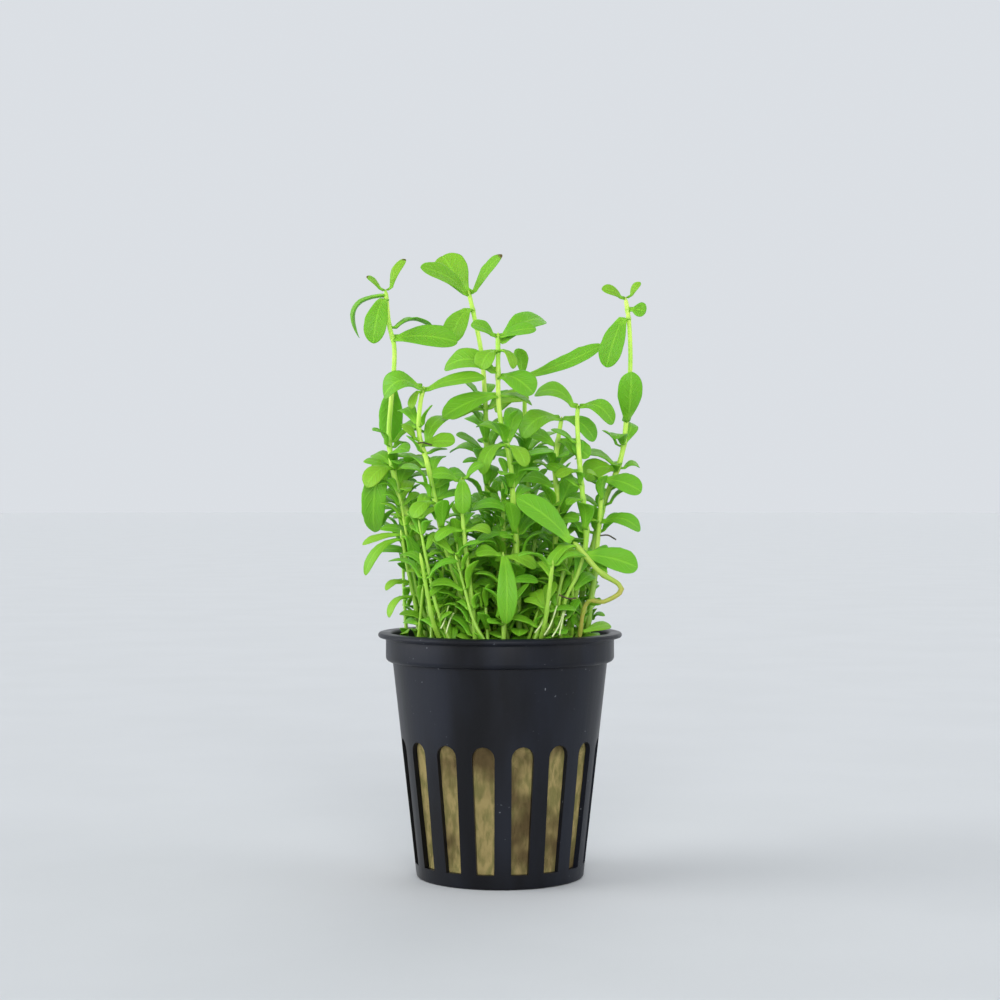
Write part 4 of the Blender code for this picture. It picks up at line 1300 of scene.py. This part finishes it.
def sweep_tree():
    tree, inputs, outputs = geometry_tree(
        "sweep_stems", Sides=("Int", SWEEP_SIDES), Material=("Material", None),
    )
    curve = add(tree, "GeometryNodeMeshToCurve", {"Mesh": inputs[0]}).outputs[0]
    circle = add(tree, "GeometryNodeCurvePrimitiveCircle", {"Resolution": inputs["Sides"], "Radius": 1.0})
    swept_stems = sweep(tree, curve, circle.outputs[0], Scale=read(tree, "radius"))
    finished(tree, swept_stems, inputs["Material"], outputs)
    return tree


SWEEP = sweep_tree()

# %% Fine paths with their swellings
FINE_STEP = 0.9
FINE_RADII = 0.62, 0.44
OTHER_RADII = {
    "bent_runner": (0.34, 0.56), "front_left": (0.44, 0.34), "front_middle": (0.44, 0.34),
    "left_edge": (0.40, 0.32), "right_rim": (0.42, 0.34), "left_front": (0.52, 0.44),
}
OLD_STEMS = {"bent_runner": 0.9}
OLD_TOP, OLD_FADE, OLD_REST = 62.5, 3.0, 0.25
SIDE_SLIMNESS = 0.82
SWELLING = 0.32
SWELLING_REACH = 1.1
BUD_LENGTH = 1.6
BUD_END = 0.2
Thread = namedtuple("Thread", "path radii rings old")


def age_at(height, old):
    """An old stem is brown low down and stays greener above."""
    return old * min(1.0, max(OLD_REST, (OLD_TOP - height) / OLD_FADE))


def ring_at(height, joints):
    """How close a height in millimetres is to a joint of the stem: 1 on it, 0 away from it."""
    nearest = min((abs(height - joint) for joint in joints), default=SWELLING_REACH)
    return max(0.0, 1 - nearest / SWELLING_REACH) ** 2


def fine_thread(path, foot, tip, joints, old=0.0):
    """A smooth stem with joints, rounded off at its end."""
    ends = len(path) - 1
    far = [0.0]
    for low, high in zip(path, path[1:]):
        far.append(far[-1] + (high - low).length / MM)
    rings = [ring_at(point.z / MM, joints) for point in path]
    radii = []
    for i, ring in enumerate(rings):
        radius = foot + (tip - foot) * i / ends
        bud = min(1.0, max(0.0, far[-1] - far[i]) / BUD_LENGTH)
        radii.append(radius * (1 + SWELLING * ring) * MM * math.sqrt(max(BUD_END ** 2, bud * (2 - bud))))
    return Thread(path, radii, rings, old)


def joints_of(node):
    return sorted({round(leaf.root.z / MM, 1) for leaf in blades[node]})


# %% Sweep the stems of one node
def thread_mesh(name, threads):
    """All paths as one mesh of edges that carry the radius and the marks."""
    edges, start = [], 0
    for thread in threads:
        edges += [(start + k, start + k + 1) for k in range(len(thread.path) - 1)]
        start += len(thread.path)
    mesh = new_mesh(name, [point for thread in threads for point in thread.path], edges)
    spread(mesh, "radius", [radius for thread in threads for radius in thread.radii])
    spread(mesh, "stem_ring", [ring for thread in threads for ring in thread.rings])
    ages = [age_at(point.z / MM, thread.old) for thread in threads for point in thread.path]
    spread(mesh, "stem_old", ages)
    return mesh


def swept(name, threads, sides=SWEEP_SIDES, material=STEM):
    return grown_mesh(name, thread_mesh(name, threads), SWEEP, Sides=sides, Material=material)


def fine_side_stems(node):
    """The side stems that share the node, as smooth threads that are a little slimmer."""
    joints = joints_of(node)
    threads = []
    for stem in stalks[node]:
        foot, tip = stem.foot_radius * SIDE_SLIMNESS, stem.tip_radius * SIDE_SLIMNESS
        threads.append(fine_thread(smooth_path(stem.path, FINE_STEP * MM), foot, tip, joints))
    return threads


def fine_stems(node, title, threads):
    piece = swept(title, threads)
    fit(piece, "stem", node)
    return len(piece.data.polygons)


faces = 0
for name, shoot in SHOOTS.items():
    node = f"{name}_stem"
    heights = [leaf.height for leaf in shoot.leaves] + joints_of(node)
    path = rooted_path(shoot.foot, shoot.stem, FINE_STEP)
    main = fine_thread(path, *OTHER_RADII.get(name, FINE_RADII), heights, OLD_STEMS.get(name, 0.0))
    faces += fine_stems(node, f"{name}_stalk", [main, *fine_side_stems(node)])
for name in TUFTS:
    faces += fine_stems(name, f"{name}_stalks", fine_side_stems(name))
print("fine stems:", faces, "faces")


# %% [markdown]
# ## Roots and dead threads
#
# Where stems lie low they send out fine white roots, and a few dead threads hang in the growth. A
# root is far thinner than a solid should be, so it is only made here, from a start, an end and how
# far it sags between them.

# %% Listed roots, and more of them drawn with a fixed seed
ROOT_RADIUS = 0.16
DEAD_RADIUS = 0.17
ROOT_SIDES = 6
ROOT_STEP = 0.6
ROOTS = [
    ((11.2, -17.5, 56.2), (8.6, -21.0, 50.6), 0.8), ((12.6, -17.0, 55.2), (10.2, -21.5, 50.4), 0.6),
    ((13.2, -16.0, 55.8), (11.6, -20.5, 50.6), -0.7), ((10.0, -16.0, 57.0), (6.8, -20.0, 51.0), 0.9),
    ((-10.2, -15.0, 56.0), (-11.6, -18.5, 51.8), 0.6), ((-9.2, -15.5, 54.6), (-10.6, -19.0, 50.8), -0.5),
]
DEAD = [
    ((11.6, -18.5, 58.4), (15.0, -19.0, 57.8), 0.4), ((20.2, -7.0, 69.8), (23.4, -7.5, 69.0), -0.5),
    ((-16.6, -16.0, 88.2), (-13.4, -16.4, 87.8), -0.3),
]
LOOSE_ROOTS = 46
LOOSE_REACH, LOOSE_LIMIT = 17.0, 19.5
LOOSE_START = (0.3, 3.5)
LOOSE_END = (0.1, 0.5)
LOOSE_TURN = (-1.2, 1.2)
LOOSE_LENGTH = (3.0, 7.0)
LOOSE_RISE = (0.2, 1.2)


def sagging(start, end, sag):
    """A thread from start to end that sags by so many millimetres in the middle."""
    first, last = vector(*start), vector(*end)
    middle = (first + last) / 2 + vector(0, -sag / 2, -sag)
    return smooth_path([first, middle, last], ROOT_STEP * MM)


def loose_root(draws):
    """A root that creeps over the wool from somewhere near its middle."""
    turn, reach = draws.uniform(0, math.tau), LOOSE_REACH * math.sqrt(draws.random())
    start = Vector((reach * math.cos(turn), reach * math.sin(turn), WOOL_TOP + draws.uniform(*LOOSE_START)))
    turn += draws.uniform(*LOOSE_TURN)
    length = draws.uniform(*LOOSE_LENGTH)
    end = start + Vector((length * math.cos(turn), length * math.sin(turn), 0))
    end *= min(1.0, LOOSE_LIMIT / math.hypot(end.x, end.y))
    end.z = WOOL_TOP + draws.uniform(*LOOSE_END)
    return sagging(start, end, -draws.uniform(*LOOSE_RISE))


def even_threads(paths, radius):
    """Threads of one thickness, without joints."""
    return [Thread(path, [radius * MM] * len(path), [0.0] * len(path), 0.0) for path in paths]


draws = random.Random("loose roots")
root_paths = [sagging(*root) for root in ROOTS] + [loose_root(draws) for _ in range(LOOSE_ROOTS)]
dead_paths = [sagging(*thread) for thread in DEAD]


# %% The materials of roots and dead threads, and the threads themselves
ROOT_PALE, ROOT_GREEN = (0.66, 0.76, 0.40), (0.40, 0.56, 0.16)
DEAD_DARK, DEAD_BROWN = (0.035, 0.030, 0.012), (0.09, 0.07, 0.02)
SPOT_SCALE, SPOT_EDGES = 700.0, (0.4, 0.7)


def thread_material(name, colour, spotted):
    material, tree, shader = new_material(name, Roughness=0.55)
    spots = between(tree, noise(tree, place(tree), SPOT_SCALE), *SPOT_EDGES)
    wire(tree, shader.inputs["Base Color"], mixed(tree, spots, colour, spotted))
    return material


ROOT = thread_material("pale_root", ROOT_PALE, ROOT_GREEN)
WITHERED = thread_material("withered", DEAD_DARK, DEAD_BROWN)
roots = swept("fine_roots", even_threads(root_paths, ROOT_RADIUS), ROOT_SIDES, ROOT)
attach(roots, "root")
dead = swept("dead_threads", even_threads(dead_paths, DEAD_RADIUS), ROOT_SIDES, WITHERED)
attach(dead, "root")
print("roots and dead threads:", len(roots.data.polygons) + len(dead.data.polygons), "faces")


# %% [markdown]
# ## The pot
#
# A moulded pot is a turned form with slots cut through it, a rule that suits a node tree well. The
# profile is a closed line of points, with arcs where the mould is round. The tree stands a tube on
# its rows, one row for each point, and moves them out to that point's radius. Then it copies one
# rounded slot round the wall and one spoke round the floor, and cuts them all out with a Boolean.

# %% The fine profile
FINE_SIDES = 144
LIP_ROUND = 0.55
COLLAR_ROUND = 1.0
BASE_ROUND = 0.6
ARC_STEPS = 5


def arc(x, z, radius, start, end):
    """Points (radius, height) on part of a circle, from one angle in degrees to another."""
    turns = [math.radians(start + (end - start) * k / ARC_STEPS) for k in range(ARC_STEPS + 1)]
    return [(x + radius * math.cos(a), z + radius * math.sin(a)) for a in turns]


def fine_profile():
    """The whole section of the pot, from the middle of its floor round to its underside."""
    collar_foot = POT_HEIGHT - COLLAR_HEIGHT
    inside = COLLAR_RADIUS - WALL
    return [
        (0.0, FLOOR),
        *arc(wall_radius(FLOOR) - WALL - BASE_ROUND, FLOOR + BASE_ROUND, BASE_ROUND, -90, 0),
        (wall_radius(collar_foot) - WALL, collar_foot),
        (inside, collar_foot + WALL),
        *arc(inside + LIP_ROUND, POT_HEIGHT - LIP_ROUND, LIP_ROUND, 180, 90),
        *arc(RIM_RADIUS - LIP_ROUND, POT_HEIGHT - LIP_ROUND, LIP_ROUND, 90, -90),
        (COLLAR_RADIUS + RIM_EDGE, POT_HEIGHT - 2 * LIP_ROUND),
        (COLLAR_RADIUS, POT_HEIGHT - 2 * LIP_ROUND - RIM_EDGE),
        *arc(COLLAR_RADIUS - COLLAR_ROUND, collar_foot + COLLAR_ROUND, COLLAR_ROUND, 0, -90),
        (WALL_TOP_RADIUS, collar_foot),
        (wall_radius(collar_foot / 2), collar_foot / 2),
        *arc(wall_radius(BASE_ROUND) - BASE_ROUND, BASE_ROUND, BASE_ROUND, 0, -90),
        (0.0, 0.0),
    ]


# %% Nodes that turn a profile
def turned_rows(tree, profile, sides):
    """A tube whose rows are moved to the points (radius, 0, height) of the profile mesh."""
    count = add(tree, "GeometryNodeAttributeDomainSize", {0: profile}).outputs["Point Count"]
    rows = number(tree, "SUBTRACT", count, 1)
    sizes = {"Vertices": sides, "Side Segments": rows, "Radius": 1.0, "Depth": rows}
    wall = add(tree, "GeometryNodeMeshCylinder", sizes, fill_type="NONE").outputs[0]
    here = position(tree)
    spot = parts_of(tree, here)
    row = number(tree, "ROUND", number(tree, "MULTIPLY_ADD", rows, 0.5, spot[2]))
    sample = {"Geometry": profile, "Value": here, "Index": row}
    found = add(tree, "GeometryNodeSampleIndex", sample, data_type="FLOAT_VECTOR").outputs[0]
    radius, _, height = parts_of(tree, found)
    x, y = (product(tree, spot[axis], radius) for axis in (0, 1))
    moved = add(tree, "ShaderNodeCombineXYZ", {0: x, 1: y, 2: height}).outputs[0]
    shaped = add(tree, "GeometryNodeSetPosition", {"Geometry": wall, "Position": moved}).outputs[0]
    joined = {"Geometry": shaped, "Distance": 0.01 * MM}
    return add(tree, "GeometryNodeMergeByDistance", joined).outputs[0]


def round_about(tree, shape, count, turn):
    """Copies of a shape set round the Z axis."""
    points = add(tree, "GeometryNodePoints", {"Count": count}).outputs[0]
    index = add(tree, "GeometryNodeInputIndex").outputs[0]
    angle = number(tree, "MULTIPLY_ADD", index, number(tree, "DIVIDE", math.tau, count), turn)
    rotation = add(tree, "ShaderNodeCombineXYZ", {2: angle}).outputs[0]
    return copies_on(tree, points, shape, Rotation=rotation)


def profile_mesh(name, profile):
    """A line of points (radius, 0, height), joined by edges."""
    edges = [(k, k + 1) for k in range(len(profile) - 1)]
    return new_mesh(name, [vector(radius, 0, height) for radius, height in profile], edges)


# %% Cutters for the slots
SLOT_ARC_STEPS = 8


def prism_mesh(name, outline, near, far):
    """An outline of (across, height) that reaches outwards from one radius to another."""
    points, faces = skin([[vector(r, a, h) for a, h in outline] for r in (near, far)])
    return new_mesh(name, points, faces=faces)


def slot_outline():
    """Flat at its foot and round at its head."""
    low, high = SLOT_LOW_WIDTH / 2, SLOT_HIGH_WIDTH / 2
    turns = [math.pi * k / SLOT_ARC_STEPS for k in range(SLOT_ARC_STEPS + 1)]
    head = [(high * math.cos(a), SLOT_HIGH - high + high * math.sin(a)) for a in turns]
    return [(-low, SLOT_LOW), (low, SLOT_LOW), *head]


def spoke_outline():
    """A plain oblong that passes right through the floor."""
    half = FLOOR_SLOT_WIDTH / 2
    return [(-half, -FLOOR), (half, -FLOOR), (half, 2 * FLOOR), (-half, 2 * FLOOR)]


# %% The tree that makes the pot
PLASTIC_CREASE = math.radians(32)


def pot_tree():
    tree, inputs, outputs = geometry_tree(
        "slotted_pot", Sides=("Int", FINE_SIDES), Slots=("Int", SLOT_COUNT),
        Spokes=("Int", FLOOR_SLOT_COUNT), Turn=("Float", SLOT_TURN),
        Slot=("Object", None), Spoke=("Object", None), Material=("Material", None),
    )
    body = turned_rows(tree, inputs[0], inputs["Sides"])
    cut = add(tree, "GeometryNodeMeshBoolean", {"Mesh 1": body}, operation="DIFFERENCE", solver="EXACT")
    for title, count in (("Slot", "Slots"), ("Spoke", "Spokes")):
        shape = add(tree, "GeometryNodeObjectInfo", {"Object": inputs[title]}).outputs["Geometry"]
        wire(tree, cut.inputs["Mesh 2"], round_about(tree, shape, inputs[count], inputs["Turn"]))
    finished(tree, cut.outputs[0], inputs["Material"], outputs)
    return tree


slot_cutter = linked("slot", prism_mesh("slot", slot_outline(), BASE_RADIUS - 3 * WALL, RIM_RADIUS))
spoke_cutter = linked("spoke", prism_mesh("spoke", spoke_outline(), FLOOR_SLOT_IN, FLOOR_SLOT_OUT))
pot = grown_mesh(
    "slotted_pot", profile_mesh("pot_profile", fine_profile()), pot_tree(),
    Slot=slot_cutter, Spoke=spoke_cutter, Material=PLASTIC,
)
for cutter in (slot_cutter, spoke_cutter):
    bpy.data.objects.remove(cutter)
pot.data.set_sharp_from_angle(angle=PLASTIC_CREASE)
fit(pot, "black_plastic", "pot")
print("pot:", len(pot.data.polygons), "faces")


# %% [markdown]
# ## The rock wool
#
# The plug is the same kind of turned form, but soft. Noise pushes its skin in and out, and where the
# pot has slots it bulges into them a little, as packed wool does. Short fibres stand off its skin in
# all directions. They are one curve with a three-sided section, copied over points that are
# scattered on the surface with a fixed seed, and made real at the end.

# %% The tree that makes the plug
PLUG_SIDES = 192
PLUG_ROW = 0.9
PLUG_ROUGH = 0.5 * MM
PLUG_BULGE = 0.7 * MM
LUMP_SCALE = 330.0
LUMP_STRETCH = (1.0, 1.0, 0.55)
LUMP_HIGHEST = 0.8
BULGE_EDGES = 0.12, 0.28
BULGE_HEAD_FADE, BULGE_FOOT_FADE = 4.0, 3.0


def plug_profile():
    """Over the top from the middle and down the side, in short rows that the noise can move."""
    clear = WALL + GAP
    low = FLOOR + GAP
    corners = [
        (0.0, WOOL_TOP),
        (wall_radius(WOOL_TOP) - clear - WOOL_EDGE, WOOL_TOP),
        (wall_radius(WOOL_TOP - WOOL_EDGE) - clear, WOOL_TOP - WOOL_EDGE),
        (wall_radius(low) - clear, low),
        (0.0, low),
    ]
    points = [corners[0]]
    for (r0, h0), (r1, h1) in zip(corners, corners[1:]):
        rows = max(1, round(math.hypot(r1 - r0, h1 - h0) / PLUG_ROW))
        points += [(r0 + (r1 - r0) * k / rows, h0 + (h1 - h0) * k / rows) for k in range(1, rows + 1)]
    return points


def slot_mask(tree, spot):
    """1 behind the middle of a slot and 0 behind the ribs and the full wall."""
    angle = number(tree, "ARCTAN2", spot[1], spot[0])
    share = product(tree, number(tree, "SUBTRACT", angle, SLOT_TURN), SLOT_COUNT / math.tau)
    beside = between(tree, number(tree, "PINGPONG", share, 0.5), *BULGE_EDGES, 1.0, 0.0)
    below = between(tree, spot[2], SLOT_HIGH * MM, (SLOT_HIGH - BULGE_HEAD_FADE) * MM)
    above = between(tree, spot[2], SLOT_LOW * MM, (SLOT_LOW + BULGE_FOOT_FADE) * MM)
    return product(tree, beside, below, above)


def plug_tree():
    tree, inputs, outputs = geometry_tree(
        "wool_plug", Sides=("Int", PLUG_SIDES), Rough=("Float", PLUG_ROUGH), Bulge=("Float", PLUG_BULGE),
        Material=("Material", None),
    )
    body = turned_rows(tree, inputs[0], inputs["Sides"])
    here = position(tree)
    lumps = noise(tree, here, LUMP_SCALE, stretch=LUMP_STRETCH)
    inward = product(tree, number(tree, "SUBTRACT", lumps, LUMP_HIGHEST), inputs["Rough"])
    bulge = product(tree, slot_mask(tree, parts_of(tree, here)), inputs["Bulge"])
    normal = add(tree, "GeometryNodeInputNormal").outputs[0]
    push = scaled(tree, normal, number(tree, "ADD", inward, bulge))
    shaped = add(tree, "GeometryNodeSetPosition", {"Geometry": body, "Offset": push})
    finished(tree, shaped.outputs[0], inputs["Material"], outputs)
    return tree


plug = grown_mesh(
    "rock_wool_plug", profile_mesh("plug_profile", plug_profile()), plug_tree(), Material=WOOL,
)
fit(plug, "rock_wool", "rock_wool")
print("wool plug:", len(plug.data.polygons), "faces")

# %% The tree that scatters fibres
FIBRE_DENSITY = 620000.0
FIBRE_LENGTH = 2.2 * MM
FIBRE_RADIUS = 0.035 * MM
FIBRE_BOW = {"Resolution": 3, "Start": (-0.5, 0, 0), "Middle": (0, 0, 0.45), "End": (0.5, 0, 0.1)}
FIBRE_TILTS = (-0.5, -0.5, 0), (0.5, 0.5, math.tau)
FIBRE_LENGTHS = 0.5, 1.2
PLACE_SEED, TILT_SEED, LENGTH_SEED = 4, 2, 3


def one_fibre(tree, inputs):
    """A bent thread of length 1 with a three-sided section."""
    bow = add(tree, "GeometryNodeCurveQuadraticBezier", FIBRE_BOW)
    thin = number(tree, "DIVIDE", inputs["Radius"], inputs["Length"])
    circle = add(tree, "GeometryNodeCurvePrimitiveCircle", {"Resolution": 3, "Radius": thin})
    return sweep(tree, bow.outputs[0], circle.outputs[0])


def fibre_tree():
    tree, inputs, outputs = geometry_tree(
        "wool_fibres", Density=("Float", FIBRE_DENSITY), Length=("Float", FIBRE_LENGTH),
        Radius=("Float", FIBRE_RADIUS), Material=("Material", None),
    )
    scatter = {"Mesh": inputs[0], "Density": inputs["Density"], "Seed": PLACE_SEED}
    points = add(tree, "GeometryNodeDistributePointsOnFaces", scatter).outputs
    tilts = {0: FIBRE_TILTS[0], 1: FIBRE_TILTS[1], 8: TILT_SEED}
    tilt = add(tree, "FunctionNodeRandomValue", tilts, data_type="FLOAT_VECTOR").outputs[0]
    lengths = {2: FIBRE_LENGTHS[0], 3: FIBRE_LENGTHS[1], 8: LENGTH_SEED}
    length = add(tree, "FunctionNodeRandomValue", lengths, data_type="FLOAT").outputs[1]
    turning = {0: points["Rotation"], 1: tilt}
    rotation = add(tree, "FunctionNodeRotateRotation", turning, rotation_space="LOCAL").outputs[0]
    size = product(tree, length, inputs["Length"])
    copies = copies_on(tree, points[0], one_fibre(tree, inputs), Rotation=rotation, Scale=size)
    finished(tree, copies, inputs["Material"], outputs)
    return tree


fibres = grown_mesh("wool_fibres", plug.data.copy(), fibre_tree(), Material=WOOL)
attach(fibres, "root")
print("wool fibres:", len(fibres.data.polygons), "faces")


# %% [markdown]
# ## The stage, the light and the camera
#
# The plant stands on a plain pale floor under a pale sky that stands in for a soft studio. A wide,
# low lamp from the left draws the broad sheen on the left half of the pot. A weaker one from the
# right and a soft one from the front fill the shade, and a faint one from behind lights the back of
# the leaves. The camera looks level at the plant from 42 cm, with a lens that gives the photograph's
# scale.

# %% The floor and the sky
FLOOR_RADIUS = 12.0
FLOOR_CORNERS = 64
FLOOR_TONES = (0.580, 0.600, 0.612), (0.595, 0.615, 0.628)
FLOOR_SCALE = 18.0
SKY_BEHIND = (0.71, 0.74, 0.78)
SKY_IN_FRONT = (0.36, 0.37, 0.40)
SKY_FADE = -0.6, 0.3


def make_floor():
    turns = [math.tau * k / FLOOR_CORNERS for k in range(FLOOR_CORNERS)]
    corners = [(FLOOR_RADIUS * math.cos(a), FLOOR_RADIUS * math.sin(a), 0.0) for a in turns]
    floor = linked("floor", new_mesh("floor", corners, faces=[range(FLOOR_CORNERS)]))
    material, tree, shader = new_material("pale_floor", Roughness=0.85)
    shade = between(tree, noise(tree, place(tree), FLOOR_SCALE), *NOISE_SPAN)
    wire(tree, shader.inputs["Base Color"], mixed(tree, shade, *FLOOR_TONES))
    floor.data.materials.append(material)


def make_sky():
    """Bright behind the plant and dimmer in front of it."""
    world = bpy.data.worlds.new("soft_sky")
    world.use_nodes = True
    tree = world.node_tree
    depth = parts_of(tree, add(tree, "ShaderNodeTexCoord").outputs["Generated"])[1]
    glow = mixed(tree, between(tree, depth, *SKY_FADE), SKY_IN_FRONT, SKY_BEHIND)
    wire(tree, tree.nodes["Background"].inputs["Color"], glow)
    bpy.context.scene.world = world


make_floor()
make_sky()
bpy.context.scene.view_settings.view_transform = "Standard"

# %% The lamps
Lamp = namedtuple("Lamp", "place width strength")
LAMPS = {
    "left_window": Lamp((-0.98, -0.16, 0.14), 56, 3.1),
    "right_window": Lamp((0.95, -0.25, 0.25), 40, 0.6),
    "front_softbox": Lamp((0.05, -0.94, 0.34), 40, 1.9),
    "back_glow": Lamp((0.2, 0.8, 0.7), 40, 0.4),
}


def make_lamp(name, lamp):
    """A lamp so far away that it lights the whole floor evenly. Its width is in degrees of the sky."""
    light = bpy.data.lights.new(name, "SUN")
    light.angle = math.radians(lamp.width)
    light.energy = lamp.strength
    holder = linked(name, light)
    holder.location = lamp.place
    holder.rotation_euler = (-holder.location).to_track_quat("-Z", "Y").to_euler()


for name, lamp in LAMPS.items():
    make_lamp(name, lamp)

# %% The camera
CAMERA_BACK = 0.420
CAMERA_HEIGHT = 0.077
CAMERA_NEAR = 0.01
IMAGE_WIDTH = 1000
PIXELS_PER_MM = 4.87
SENSOR = 36.0
camera = linked("camera", bpy.data.cameras.new("camera"))
camera.data.sensor_width = SENSOR
camera.data.lens = SENSOR * CAMERA_BACK * 1000 * PIXELS_PER_MM / IMAGE_WIDTH
camera.data.clip_start = CAMERA_NEAR
camera.location = (0, -CAMERA_BACK, CAMERA_HEIGHT)
camera.rotation_euler = (math.pi / 2, 0, 0)
bpy.context.scene.camera = camera
print("camera lens:", round(camera.data.lens, 1), "mm")

# %% Update the view layer and finish
bpy.context.view_layer.update()
